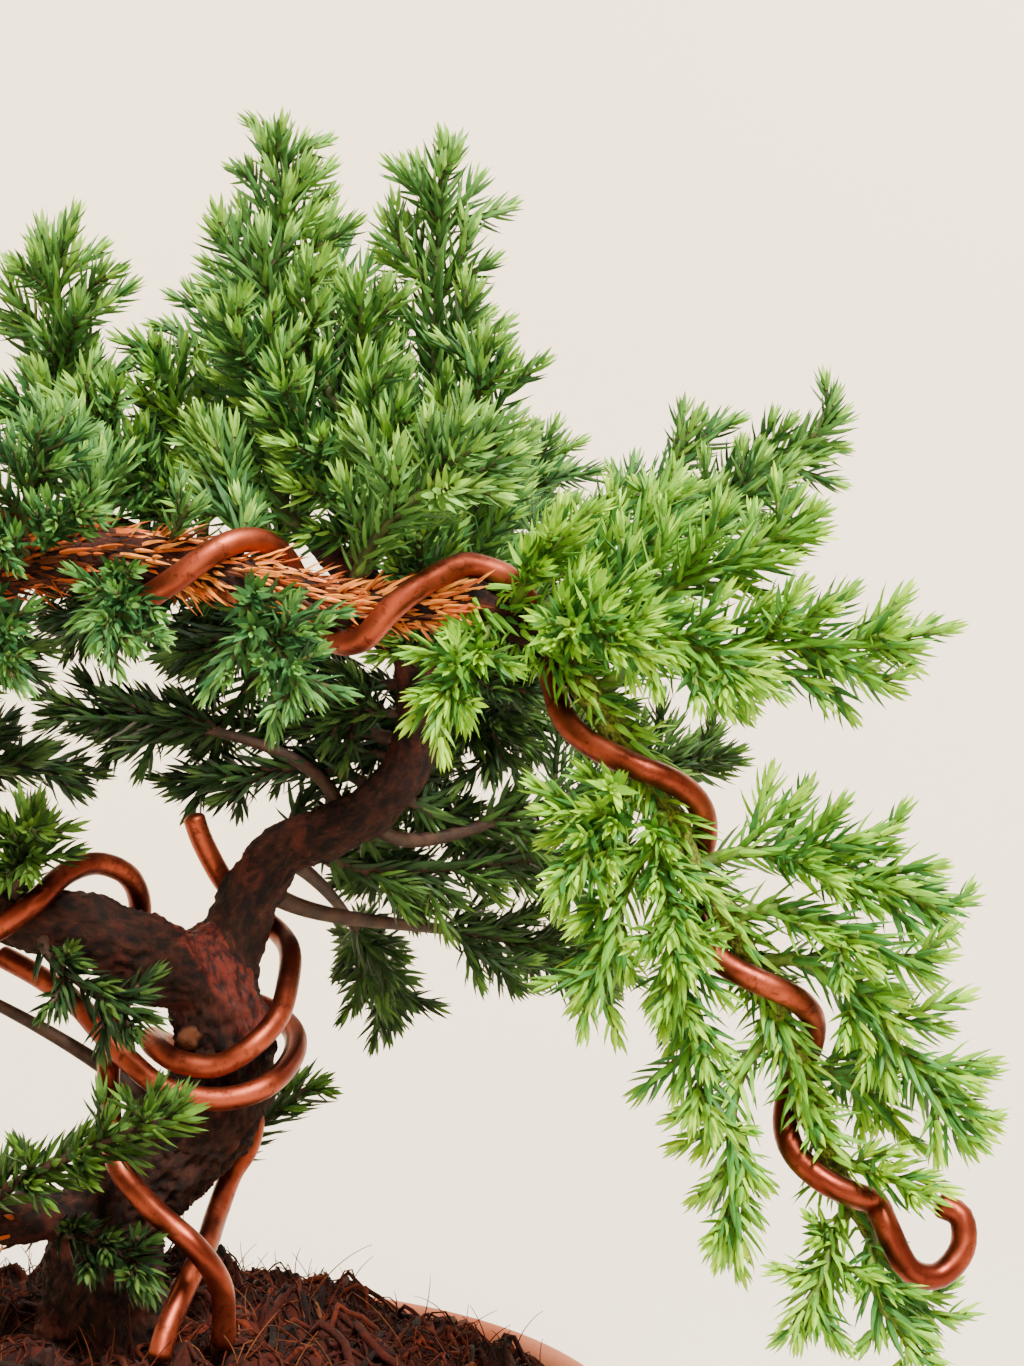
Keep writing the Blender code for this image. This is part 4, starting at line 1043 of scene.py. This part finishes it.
# Which masses share a piece: palette, record slot, masses, first words of its sprays' names.
needlePieces = {
    "needles_spires": ("spire", "needles", (
        "crown_leader", "crown_shoulder", "right_spire", "left_spire"), ()),
    "needles_crown": ("crown", "needles", (
        "right_shoulder", "crown_front", "front_tuft", "front_right_tuft", "mid_left"), (
        "crown_fill_front", "crown_fill_left", "crown_fill_right", "crown_left_low",
        "crown_left_front", "bough_behind")),
    "needles_crown_rear": ("crown", "needles", (
        "dark_spire", "rear_leader", "rear_left", "rear_spire", "rear_right", "rear_back"), (
        "crown_fill_rear", "crown_left_rear", "rear_right")),
    # painted shade: the rear sprays take darker greens
    "needles_shaded": ("half_shade", "needles", (
        "mid_rear", "rear_low_right", "rear_low_mid"), ("rear_hang", "rear_low")),
    # painted shade: the sprays under the crown take the darkest greens
    "needles_under": ("shade", "needles", (
        "under_left", "limb_spray", "low_droop"), ("under", "limb", "bend", "right_gap")),
    "needles_bough": ("blue", "needles", (
        "bough_far_left", "bough_up_left", "bough_tuft_left", "bough_tuft_mid"), (
        "bough_sprig", "bough_tuft")),
    # painted shade: the low sprays take darker greens
    "needles_low": ("half_shade", "needles", (
        "left_limb_tuft", "front_low_spray", "low_left", "trunk_sprig"), ()),
    "needles_left": ("crown", "needles", (
        "far_left_low", "far_left_mid", "far_left_top", "far_left_rear"), ("bough_left",)),
    "needles_pad_left": ("spire", "needles", ("pad_top_left",), ()),
    "needles_pads": ("fresh", "fresh_needles", (
        "pad_top_mid", "pad_right_upper", "pad_right_long", "pad_front_under"), ("pad",)),
    "needles_cascade": ("fresh", "fresh_needles", (
        "cascade_left", "cascade_down", "cascade_right", "cascade_inner_down", "cascade_end_left",
        "cascade_end"), ("cascade_front", "cascade_right", "cascade_tip")),
    "needles_cascade_low": ("young", "fresh_needles", (
        "cascade_drop", "cascade_right_low"), ("cascade_outer", "cascade_tuft")),
}


def dressMasses(plan, obstacles):
    # returns the palette of each mass and spray
    paletteOf = {}
    root = needleLook["root"]
    for name, (palette, slot, nodes, begins) in needlePieces.items():
        size = needleSizes.get(palette, 1)
        full = needleLook["length"] * size
        rows = []
        for mass in nodes + tuple(spray for spray in sprays if spray.startswith(begins)):
            paletteOf[mass] = palette
            if mass not in plan:
                continue
            grown = plan[mass]
            alongShoot(rows, grown["line"], grown["start"], mass + ":stem",
                       needleLook["stemLength"] * size, root + 0.3)
            for i, path in enumerate(grown["shoots"]):
                alongShoot(rows, path, 1.6, f"{mass}:shoot{i}", full, root)
            for i, path in enumerate(grown["twigs"]):
                alongShoot(rows, path, 1.4, f"{mass}:twig{i}", full * needleLook["twigShare"], root)
        piece = finishNeedles(name, rows, obstacles, palette)
        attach(piece, "root")
        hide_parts(*nodes)
    return paletteOf


# Twigs under the needles.

twigLook = {
    "stemSides": 7, "shootSides": 4, "tip": 0.4, "shootBase": 0.55, "base": 0.6, "taper": 0.013,
    "sunk": 1.6,
}
twigFinish = {
    "roughness": 0.7, "specular": 0.3, "grain": (420, 3), "edges": (0.35, 0.65),
    "bumpGrain": (900, 3), "bump": (0.4, 0.0003),
}
# darker and lighter tone
twigColours = {
    # the first tone: the brown of young bark, darkened as painted shade for the stems in the shade
    "young_bark_and_shade": ((38, 24, 16), (60, 38, 26)), "olive_twig": ((48, 50, 24), (64, 74, 30)),
    "green_twig": ((66, 86, 28), (92, 122, 36)),
}
# by palette: the colour of the stem and of its shoots
twigTones = {
    "spire": (1, 1), "crown": (1, 1), "blue": (1, 1), "fresh": (2, 2), "young": (2, 2),
    "half_shade": (0, 1), "shade": (0, 0),
}


def addTwigs(plan, paletteOf):
    batch = Batch()
    for name, grown in plan.items():
        stemTone, shootTone = twigTones[paletteOf[name]]
        if name in bareStems:
            stemTone = 0
        line = grown["line"]
        marks = stationsOf(line)
        thick = twigLook["base"] + twigLook["taper"] * marks[-1]
        kept = marks <= marks[-1] - needleLook["tipReach"]
        radii = thick + (twigLook["tip"] - thick) * (marks / marks[-1]) ** 0.75
        back = (line[1] - line[0]) / np.linalg.norm(line[1] - line[0]) * twigLook["sunk"]
        centres = np.vstack([[line[0] - back], line[kept]])
        radii = np.concatenate([[thick], radii[kept]])
        batch.add(tubeShape(centres, radii, twigLook["stemSides"]), stemTone)
        for path in grown["shoots"] + grown["twigs"]:
            marks = stationsOf(path)
            centres = path[marks <= max(2, marks[-1] - needleLook["tipReach"])][::3]
            if len(centres) < 2:
                continue
            radii = np.linspace(twigLook["shootBase"], twigLook["tip"], len(centres))
            batch.add(tubeShape(centres, radii, twigLook["shootSides"]), shootTone)
    paints = [speckled(name, twigFinish, *colours) for name, colours in twigColours.items()]
    piece = batch.finish("twigs", paints)
    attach(piece, "root")


# Bark: the limbs' tubes are fused into one skin, and relief follows the run of each limb.

barkLook = {
    "sides": 40, "voxel": 0.55, "soften": 0.5, "softenTimes": 3, "foot": 2.0,
    "relief": 0.17, "reliefMost": 1.5, "reliefReach": 3.5, "reliefBlend": 1.3,
    "grooveAt": (5, 1, 9), "lump": 1.1, "lumpScale": 0.17,
    "alongScale": 0.34, "acrossScale": 0.56,
    "knob": (11.6, -7.6, 137.2), "knobRadius": 1.8, "knobSides": 20,
    # along y from the knob's centre, and the share of its radius there
    "knobRings": ((1.6, 1.05), (0.4, 1.0), (-0.6, 0.86), (-1.2, 0.55)),
    "strip": ((10.3, 157.5), (23, 138)), "stripWidth": 3.1, "youngFrom": 66, "youngRange": 14,
}


def limbLine(name):
    return smoothRoute(limbRoutes[name], 1.4)


def limbShape(name):
    points = limbLine(name)
    if name == "trunk":
        foot = np.array(points[0])
        foot[2] -= barkLook["foot"]
        points = np.vstack([foot, points])
    _, across, over = ringFrames(points)
    sides = barkLook["sides"]
    radii = np.zeros((len(points), sides))
    for i, row in enumerate(points):
        here = Vector((row[0] * 0.05, row[2] * 0.05, 3))
        flare = max(0, (98 - row[2]) / 12) if name == "trunk" else 0
        for k in range(sides):
            angle = math.tau * k / sides
            out = across[i] * math.cos(angle) + over[i] * math.sin(angle)
            dent = 0.05 * (0.5 + 0.5 * noise.noise(here + Vector(out) * 1.7))
            lobes = 0.16 * flare * (0.5 - 0.5 * math.cos(5 * angle + 0.6))
            radii[i, k] = row[3] * (1 - dent) * (1 - lobes)
    return tubeShape(points, radii, sides)


def barkPaint():
    material, shader, place = newPaint("bark", 0.82, specular=0.2)
    along = readAttribute(place, "barkPlace", "Vector")
    strip = readAttribute(place, "strip")
    flakes = grain(along, 1.1, 6, 0.62, 0.4)
    patches = grain(place, 130, 3)
    fine = grain(along, 4.5, 5, 0.6)
    ground = blended(band(flakes, 0.36, 0.64), (12, 5, 3), (46, 20, 10))
    streaks = grain(stretched(along, (0.6, 1.3, 1.3)), 1.5, 5, 0.62, 0.8)
    purple = blended(band(streaks, 0.38, 0.6), (26, 7, 5), (88, 27, 17))
    red = band(strip + (flakes - 0.5) * 1.5 + (patches - 0.5) * 0.7, 0.4, 0.56)
    colour = blended(red, ground, purple)
    colour = blended(band(patches, 0.55, 0.68) * 0.5, colour, (76, 30, 20))
    # painted highlights: paler brown flecks over the bark
    colour = blended(band(fine * flakes, 0.34, 0.42) * 0.4, colour, (84, 58, 40))
    green = blended(band(fine, 0.36, 0.64), (56, 62, 22), (108, 122, 38))
    young = readAttribute(place, "young") + (flakes - 0.5) * 0.6
    colour = blended(band(young, 0.3, 0.7), colour, green)
    # painted shade: the grooves of the bark darkened towards near black
    grooveShade = readAttribute(place, "grooveShade")
    colour = blended(band(grooveShade, 0.45, 0.95) * 0.75, colour, (16, 9, 7))
    colour = blended(band(readAttribute(place, "knob"), 0.35, 0.8), colour, (88, 50, 31))
    feed(shader, "Base Color", colour)
    feed(shader, "Roughness", band(strip, 0.3, 0.8, 0.86, 0.55))
    feedBump(shader, fine * 0.6 + grain(along, 12, 4) * 0.4, 0.7, 0.0006)
    return material


def addBark():
    batch = Batch()
    for name in limbRoutes:
        batch.add(limbShape(name))
    line = [Vector(barkLook["knob"]) + Vector((0, y, 0)) for y, _ in barkLook["knobRings"]]
    shares = np.array([share for _, share in barkLook["knobRings"]])
    radii = shares * barkLook["knobRadius"]
    batch.add(tubeShape(np.array([tuple(p) for p in line]), radii, barkLook["knobSides"]))
    piece = batch.finish("bark_skin", [barkPaint()])
    bpy.ops.object.select_all(action="DESELECT")
    bpy.context.view_layer.objects.active = piece
    piece.select_set(True)
    piece.data.remesh_voxel_size = barkLook["voxel"] * mm
    bpy.ops.object.voxel_remesh()
    smooth = piece.modifiers.new("soften", "SMOOTH")
    smooth.factor = barkLook["soften"]
    smooth.iterations = barkLook["softenTimes"]
    bpy.ops.object.modifier_apply(modifier=smooth.name)
    places = reliefOnBark(piece.data)
    markBark(piece.data, places)
    piece.data.polygons.foreach_set("use_smooth", np.ones(len(piece.data.polygons), bool))
    print("bark skin", len(piece.data.polygons) * 2, "triangles")
    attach(piece, "root")
    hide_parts(*limbRoutes)


def reliefAt(spot):
    # height, and depth of groove for the painted shade in the grooves, where the pattern of the
    # bark is at this spot
    wide = noise.noise(spot * 0.9)
    ridge = 1 - 2 * abs(noise.noise(spot * 1.35 + Vector(barkLook["grooveAt"])))
    flake = noise.noise(spot * 3.4)
    height = 0.5 * wide + 0.62 * ridge + 0.3 * flake - 0.25
    return height, max(0, 1 - (ridge + 0.35 * flake + 0.15) * 1.5)


def reliefOnBark(mesh):
    # moves the skin and keeps for the paint where the pattern falls and how deep each groove is,
    # for painted shade; returns where the skin was
    count = len(mesh.vertices)
    places, normals = np.zeros(count * 3), np.zeros(count * 3)
    mesh.vertices.foreach_get("co", places)
    mesh.vertex_normals.foreach_get("vector", normals)
    places = places.reshape(-1, 3) / mm
    height, grooveShade = np.zeros(count), np.zeros(count)
    weights = np.full(count, 1e-6)
    nearest = np.full(count, 99.0)
    patterns = np.zeros((count, 3))
    for number, name in enumerate(limbRoutes):
        rows = resample(limbLine(name), 1.0)
        marks = stationsOf(rows)
        tangents, across, over = ringFrames(rows)
        low, high = rows[:, :3].min(axis=0) - 16, rows[:, :3].max(axis=0) + 16
        near = np.nonzero(((places > low) & (places < high)).all(axis=1))[0]
        offsets = places[near][:, None, :] - rows[None, :, :3]
        gaps = np.linalg.norm(offsets, axis=2) - rows[None, :, 3]
        which = gaps.argmin(axis=1)
        gap = gaps[np.arange(len(near)), which]
        close = gap < barkLook["reliefReach"]
        near, which, gap = near[close], which[close], gap[close]
        away = places[near] - rows[which, :3]
        drift, x, y = ((away * axes[which]).sum(axis=1) for axes in (tangents, across, over))
        run = (marks[which] + drift) * barkLook["alongScale"] + number * 37.0
        pattern = np.stack([run, x * barkLook["acrossScale"], y * barkLook["acrossScale"]], axis=1)
        relief = np.array([reliefAt(Vector(spot)) for spot in pattern]).reshape(-1, 2)
        amount = np.minimum(barkLook["relief"] * rows[which, 3], barkLook["reliefMost"])
        weight = np.exp(-(np.maximum(gap, 0) / barkLook["reliefBlend"]) ** 2)
        height[near] += weight * relief[:, 0] * amount
        grooveShade[near] += weight * relief[:, 1]
        weights[near] += weight
        closer = gap < nearest[near]
        patterns[near[closer]] = pattern[closer]
        nearest[near[closer]] = gap[closer]
    height /= weights
    height += [barkLook["lump"] * noise.noise(Vector(p) * barkLook["lumpScale"]) for p in places]
    moved = (places + normals.reshape(-1, 3) * height[:, None]) * mm
    mesh.vertices.foreach_set("co", moved.ravel())
    mesh.attributes.new("grooveShade", "FLOAT", "POINT").data.foreach_set("value", grooveShade / weights)
    kept = mesh.attributes.new("barkPlace", "FLOAT_VECTOR", "POINT")
    kept.data.foreach_set("vector", patterns.ravel())
    return places


def markBark(mesh, places):
    # the red strip, the knob and the green wood down the cascade
    x, y, z = places.T
    (startX, startZ), (endX, endZ) = barkLook["strip"]
    lineX, lineZ = endX - startX, endZ - startZ
    share = ((x - startX) * lineX + (z - startZ) * lineZ) / (lineX ** 2 + lineZ ** 2)
    inside = np.clip(share, 0, 1)
    gap = np.hypot(x - startX - inside * lineX, z - startZ - inside * lineZ)
    knob = np.linalg.norm(places - np.array(barkLook["knob"]) - (0, -1.4, 0), axis=1)
    young = (x - barkLook["youngFrom"]) / barkLook["youngRange"]
    marks = {
        "strip": np.clip(1.3 - gap / barkLook["stripWidth"], 0, 1) * (y < 0),
        "knob": np.clip(1.45 - knob / barkLook["knobRadius"], 0, 1),
        "young": np.clip(young, 0, 1) * (y < -25),
    }
    for name, values in marks.items():
        mesh.attributes.new(name, "FLOAT", "POINT").data.foreach_set("value", values)
    mesh.update()


# Wire.


def copperPaint():
    material, shader, place = newPaint("copper_wire", 0.36, metallic=1.0)
    cloud = grain(place, 90, 3)
    specks = grain(place, 620, 5, 0.7)
    colour = blended(band(cloud, 0.35, 0.68), (94, 38, 26), (152, 72, 49))
    colour = blended(band(specks, 0.52, 0.67) * 0.7, colour, (66, 28, 18))
    feed(shader, "Base Color", colour)
    feed(shader, "Roughness", band(cloud + (specks - 0.5) * 0.6, 0.3, 0.7, 0.35, 0.52))
    feedBump(shader, specks, 0.25, 0.00015)
    return material


def addWires(lines):
    paint = copperPaint()
    for name, rows in lines.items():
        # closer rings at both ends, for the rounded cuts
        start = [rows[0] + (rows[1] - rows[0]) * share for share in (0, 0.25, 0.6)]
        end = [rows[-1] + (rows[-2] - rows[-1]) * share for share in (0.6, 0.25, 0)]
        points = np.array(start + list(rows[1:-1]) + end)
        radii = np.full(len(points), wireLook["radius"])
        radii[[0, -1]] *= wireLook["cutEnd"]
        radii[[1, -2]] *= wireLook["cutShoulder"]
        batch = Batch()
        batch.add(tubeShape(points, radii, wireLook["sides"]))
        piece = batch.finish(name + "_smooth", [paint])
        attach(piece, "root")
        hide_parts(name)


# Coir root ball with loose fibres.

coirLook = {
    "edge": 65, "crown": 23, "shoulder": 4, "bore": 79, "rings": 120, "segments": 220,
    "dip": (38, 34), "dipDepth": 5, "dipSpread": 420, "clump": 3.4, "lump": 2.6,
    "ground": 86, "foot": (-3, 0), "footReach": 20, "floor": 48, "floorRadius": 66,
}
coirFinish = {
    "roughness": 0.9, "specular": 0.2, "grain": (300, 5, 0.65, 0.6), "edges": (0.34, 0.66),
    "bumpGrain": (900, 5, 0.7), "bump": (0.8, 0.0008),
}
moundFinish = {**coirFinish, "grain": (240, 5, 0.65, 0.6), "bumpGrain": (720, 5, 0.7)}
coirColours = {
    "coir_dark": ((13, 4, 2), (25, 7, 3)), "coir_red": ((33, 8, 2), (60, 16, 5)),
    "coir_rust": ((54, 17, 5), (90, 31, 10)), "coir_tan": ((82, 39, 16), (108, 60, 28)),
}
# how many, how far out they start, their length and thickness, sides, and the share of each colour
fibreLook = {
    "fine": {"many": 3000, "length": (6, 20), "thick": (0.1, 0.24), "sides": 3,
             "shares": (6, 9, 4, 0.5)},
    "coarse": {"many": 620, "length": (10, 26), "thick": (0.35, 0.8), "sides": 5,
               "shares": (3, 9, 6, 0.2)},
    "reach": 77, "rows": 8,
}
hairLook = {
    "many": 320, "reach": 74, "length": (4, 11), "rows": 9, "sides": 4, "thick": (0.14, 0.06),
    "swirl": 0.16, "longOnes": 0.12,
}


def coirHeight(x, y):
    share = min(1, math.hypot(x, y) / coirLook["bore"])
    height = coirLook["edge"] + coirLook["crown"] * (1 - share ** coirLook["shoulder"])
    inward = 1 - share
    broad = noise.noise(Vector((x, y, 7)) * 0.07)
    height -= 3.2 * (0.5 + 0.5 * broad) * min(1, 4 * inward)
    clump = 2.6 * abs(noise.noise(Vector((x, y, 3)) * 0.085))
    clump += 1.5 * abs(noise.noise(Vector((x, y, 9)) * 0.2))
    clump += 0.5 * noise.noise(Vector((x, y, 5)) * 0.6) - 0.9
    height += (coirLook["clump"] * clump + coirLook["lump"] * broad) * min(1, 5 * inward)
    away = (x - coirLook["dip"][0]) ** 2 + (y - coirLook["dip"][1]) ** 2
    dip = coirLook["dipDepth"] * math.exp(-away / coirLook["dipSpread"])
    height -= dip * min(1, 6 * inward)
    # level with the trunk's foot beside it
    near = math.hypot(x - coirLook["foot"][0], y - coirLook["foot"][1])
    if near < coirLook["footReach"]:
        share = max(0, min(1, (coirLook["footReach"] - near) / 8))
        height += (coirLook["ground"] - 0.4 - height) * share * share * (3 - 2 * share)
    return height


def addCoir():
    bore, floor, many = coirLook["bore"], coirLook["floor"], coirLook["segments"]
    rings = []
    for i in range(1, coirLook["rings"] + 1):
        ring = ringAt(bore * i / coirLook["rings"], 0, many)
        ring[:, 2] = [coirHeight(x, y) for x, y, _ in ring]
        rings.append(ring)
    rings.append(ringAt(bore - 1, coirLook["edge"] - 4, many))
    rings.append(ringAt(coirLook["floorRadius"], floor, many))
    batch = Batch()
    batch.add(bowlShape((0, 0, coirHeight(0, 0)), rings, (0, 0, floor)))
    piece = batch.finish("coir_mound", [speckled("coir", moundFinish, (14, 4, 2), (56, 17, 5))])
    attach(piece, "root")
    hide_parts("root_ball")


def spotOnCoir(reach, dice):
    radius = reach * math.sqrt(dice.random())
    angle = dice.uniform(0, math.tau)
    return radius * math.cos(angle), radius * math.sin(angle)


def fibreLine(look, number, dice):
    # a strand that wanders over the coir, as far as the pot's wall
    x, y = spotOnCoir(fibreLook["reach"], dice)
    heading = dice.uniform(0, math.tau)
    bend = dice.uniform(-0.35, 0.35)
    length = dice.uniform(*look["length"])
    loft = dice.uniform(0.2, 2.6) if dice.random() < 0.4 else dice.uniform(0.1, 0.9)
    count = fibreLook["rows"]
    line = []
    for j in range(count):
        if math.hypot(x, y) > coirLook["bore"] - 1:
            break
        rise = loft * math.sin(math.pi * j / (count - 1))
        rise += 0.1 + 0.25 * noise.noise(Vector((x, y, number)) * 0.5)
        line.append((x, y, coirHeight(x, y) + rise))
        heading += bend + dice.uniform(-0.5, 0.5)
        x += math.cos(heading) * length / count
        y += math.sin(heading) * length / count
    return line


def hairLine(dice):
    # a thin hair that stands up and swirls over
    x, y = spotOnCoir(hairLook["reach"], dice)
    aim = Vector((dice.uniform(-0.7, 0.7), dice.uniform(-0.7, 0.7), 1)).normalized()
    swirl = Vector((dice.uniform(-1, 1), dice.uniform(-1, 1), dice.uniform(-0.6, 0.1)))
    length = dice.uniform(*hairLook["length"])
    if dice.random() < hairLook["longOnes"]:
        length *= 1.6
    here = Vector((x, y, coirHeight(x, y) - 0.5))
    line = []
    for _ in range(hairLook["rows"]):
        line.append(tuple(here))
        aim = (aim + swirl * hairLook["swirl"]).normalized()
        here = here + aim * length / (hairLook["rows"] - 1)
    return line


def addFibres():
    dice = random.Random("coir fibres")
    paints = [speckled(name, coirFinish, *colours) for name, colours in coirColours.items()]
    fibres = Batch()
    number = 0
    for look in (fibreLook["fine"], fibreLook["coarse"]):
        for _ in range(look["many"]):
            line = fibreLine(look, number, dice)
            number += 1
            if len(line) < 4:
                continue
            radii = np.full(len(line), dice.uniform(*look["thick"]))
            radii[[0, -1]] *= 0.4
            tone = dice.choices((0, 1, 2, 3), look["shares"])[0]
            fibres.add(tubeShape(np.array(line), radii, look["sides"]), tone)
    piece = fibres.finish("coir_fibres", paints)
    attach(piece, "root")
    hairs = Batch()
    for _ in range(hairLook["many"]):
        line = np.array(hairLine(dice))
        radii = np.linspace(*hairLook["thick"], hairLook["rows"])
        hairs.add(tubeShape(line, radii, hairLook["sides"]), dice.choice((1, 2, 3)))
    piece = hairs.finish("coir_hairs", paints)
    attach(piece, "root")


# Clay pot.

potLook = {
    "segments": 128, "smoothAngle": 50,
    # height and radius, from the foot up over the rim and down the inside
    "profile": [
        (0, 58.6), (1.2, 60.4), (20, 66.9), (40, 74.1), (55.6, 79.9), (57.2, 81.6), (58.2, 84.6),
        (60, 86), (67.6, 86), (69.4, 85), (70, 83.4), (70, 81.6), (69.3, 80.1), (67.4, 79.2),
        (50, 71.8), (30, 63.6), (9, 54.6), (8, 53),
    ],
}


def clayPaint():
    material, shader, place = newPaint("clay", 0.86, specular=0.25)
    cloud = grain(place, 24, 4)
    speck = grain(place, 700, 4, 0.7)
    rings = grain(stretched(place, (1, 1, 26)), 14, 2)
    colour = blended(band(cloud, 0.3, 0.7), (172, 94, 66), (202, 126, 96))
    colour = blended(band(speck, 0.56, 0.7) * 0.45, colour, (150, 82, 60))
    colour = blended(band(grain(place, 60, 5), 0.58, 0.74) * 0.4, colour, (222, 182, 160))
    feed(shader, "Base Color", colour)
    feedBump(shader, rings * 0.7 + speck * 0.3, 0.35, 0.0006)
    return material


def addPot():
    bpy.ops.object.select_all(action="DESELECT")
    profile = potLook["profile"]
    bpy.ops.mesh.primitive_circle_add(
        vertices=potLook["segments"], radius=profile[0][1] * mm, fill_type="NGON",
        location=(0, 0, 0),
    )
    piece = bpy.context.object
    piece.name = "clay_pot"
    bpy.ops.object.mode_set(mode="EDIT")
    bpy.ops.mesh.select_all(action="SELECT")
    for (low, inner), (high, outer) in zip(profile, profile[1:]):
        bpy.ops.mesh.extrude_region_move(
            TRANSFORM_OT_translate={"value": (0, 0, (high - low) * mm)})
        share = outer / inner
        bpy.ops.transform.resize(value=(share, share, 1), center_override=(0, 0, high * mm))
    bpy.ops.mesh.select_all(action="SELECT")
    bpy.ops.mesh.normals_make_consistent(inside=False)
    bpy.ops.object.mode_set(mode="OBJECT")
    bpy.ops.object.shade_smooth_by_angle(angle=math.radians(potLook["smoothAngle"]))
    piece.data.materials.append(clayPaint())
    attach(piece, "root")
    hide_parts("pot")
    print("pot", len(piece.data.polygons), "faces")


# Needles straight on the wood: dry ones along the arching bough, green ones down the cascade.
# Tones are numbers of greens, and from 4 on of browns.

limbNeedles = {
    "main_bough": {"from": 0.02, "tones": (4, 4, 4, 5, 5, 6), "lean": 19, "length": 5.4,
                   "step": 0.5, "count": 7, "darkTo": 0.36, "slim": 0.74},
    "left_bend": {"from": 0.1, "tones": (5, 6, 6, 4), "lean": 28, "length": 5, "step": 1.4,
                  "count": 5},
    "cascade": {"from": 0.0, "tones": (1, 1, 2, 2), "lean": 48, "length": 6, "step": 0.7,
                "count": 7, "dense": 0.9, "palette": "fresh", "slot": "fresh_needles"},
    "low_left_bough": {"from": 0.45, "tones": (4, 5, 6), "lean": 30, "length": 5, "step": 2,
                       "count": 4},
}
darkTones = (5, 5, 6, 6)


def dressLimbs(wires):
    for name, look in limbNeedles.items():
        dice = random.Random(name + " needles")
        line = limbLine(name)
        marks = stationsOf(line)
        frames = ringFrames(line)
        rows = []
        along = marks[-1] * look["from"]
        while along < marks[-1]:
            row = rowAt(line, marks, along)
            i = min(int(np.searchsorted(marks, along)), len(marks) - 1)
            spot = (row[:3], *(axes[i] for axes in frames))
            many = look["count"] if along < marks[-1] * look.get("dense", 1) else 2
            tones = darkTones if along < marks[-1] * look.get("darkTo", 0) else look["tones"]
            for _ in range(many):
                turn = dice.uniform(0, math.tau)
                lean = look["lean"] + dice.choice((-14, -8, 0, 12, 24, 40)) + dice.uniform(-6, 6)
                length = look["length"] * dice.uniform(0.5, 1.12)
                addWhorl(rows, spot, turn, 1, lean, length, dice.choice(tones), dice, row[3] * 0.9)
            along += look["step"] * dice.uniform(0.7, 1.3)
        palette, slim = look.get("palette", "blue"), look.get("slim", 1.0)
        piece = finishNeedles("needles_on_" + name, rows, wires, palette, slim)
        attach(piece, "root")


def main():
    addCamera()
    for name, look in lamps.items():
        addLamp(name, look)
    addSky()
    addCove()
    curves = {name: resample(smoothRoute(route, 1.5), growth["limbStep"])
              for name, route in limbRoutes.items()}
    smoothWires, coarseWires = planWires(curves)
    wood = {name: resample(rows, 1.2) for name, rows in {**curves, **coarseWires}.items()}
    plan = planFoliage(curves, wood)
    print("stems", len(plan), "side shoots", sum(len(g["shoots"]) for g in plan.values()))
    growFiner(plan, curves, wood)
    print("with finer ones", sum(len(g["shoots"]) for g in plan.values()),
          "twigs", sum(len(g["twigs"]) for g in plan.values()))
    limbRows = np.vstack([resample(limbLine(name), 1.2) for name in limbRoutes])
    wireRows = np.vstack([resample(rows, 1.2) for rows in smoothWires.values()])
    paletteOf = dressMasses(plan, np.vstack([limbRows, wireRows]))
    dressLimbs(wireRows)
    addTwigs(plan, paletteOf)
    addBark()
    addWires(smoothWires)
    addCoir()
    addFibres()
    addPot()


main()
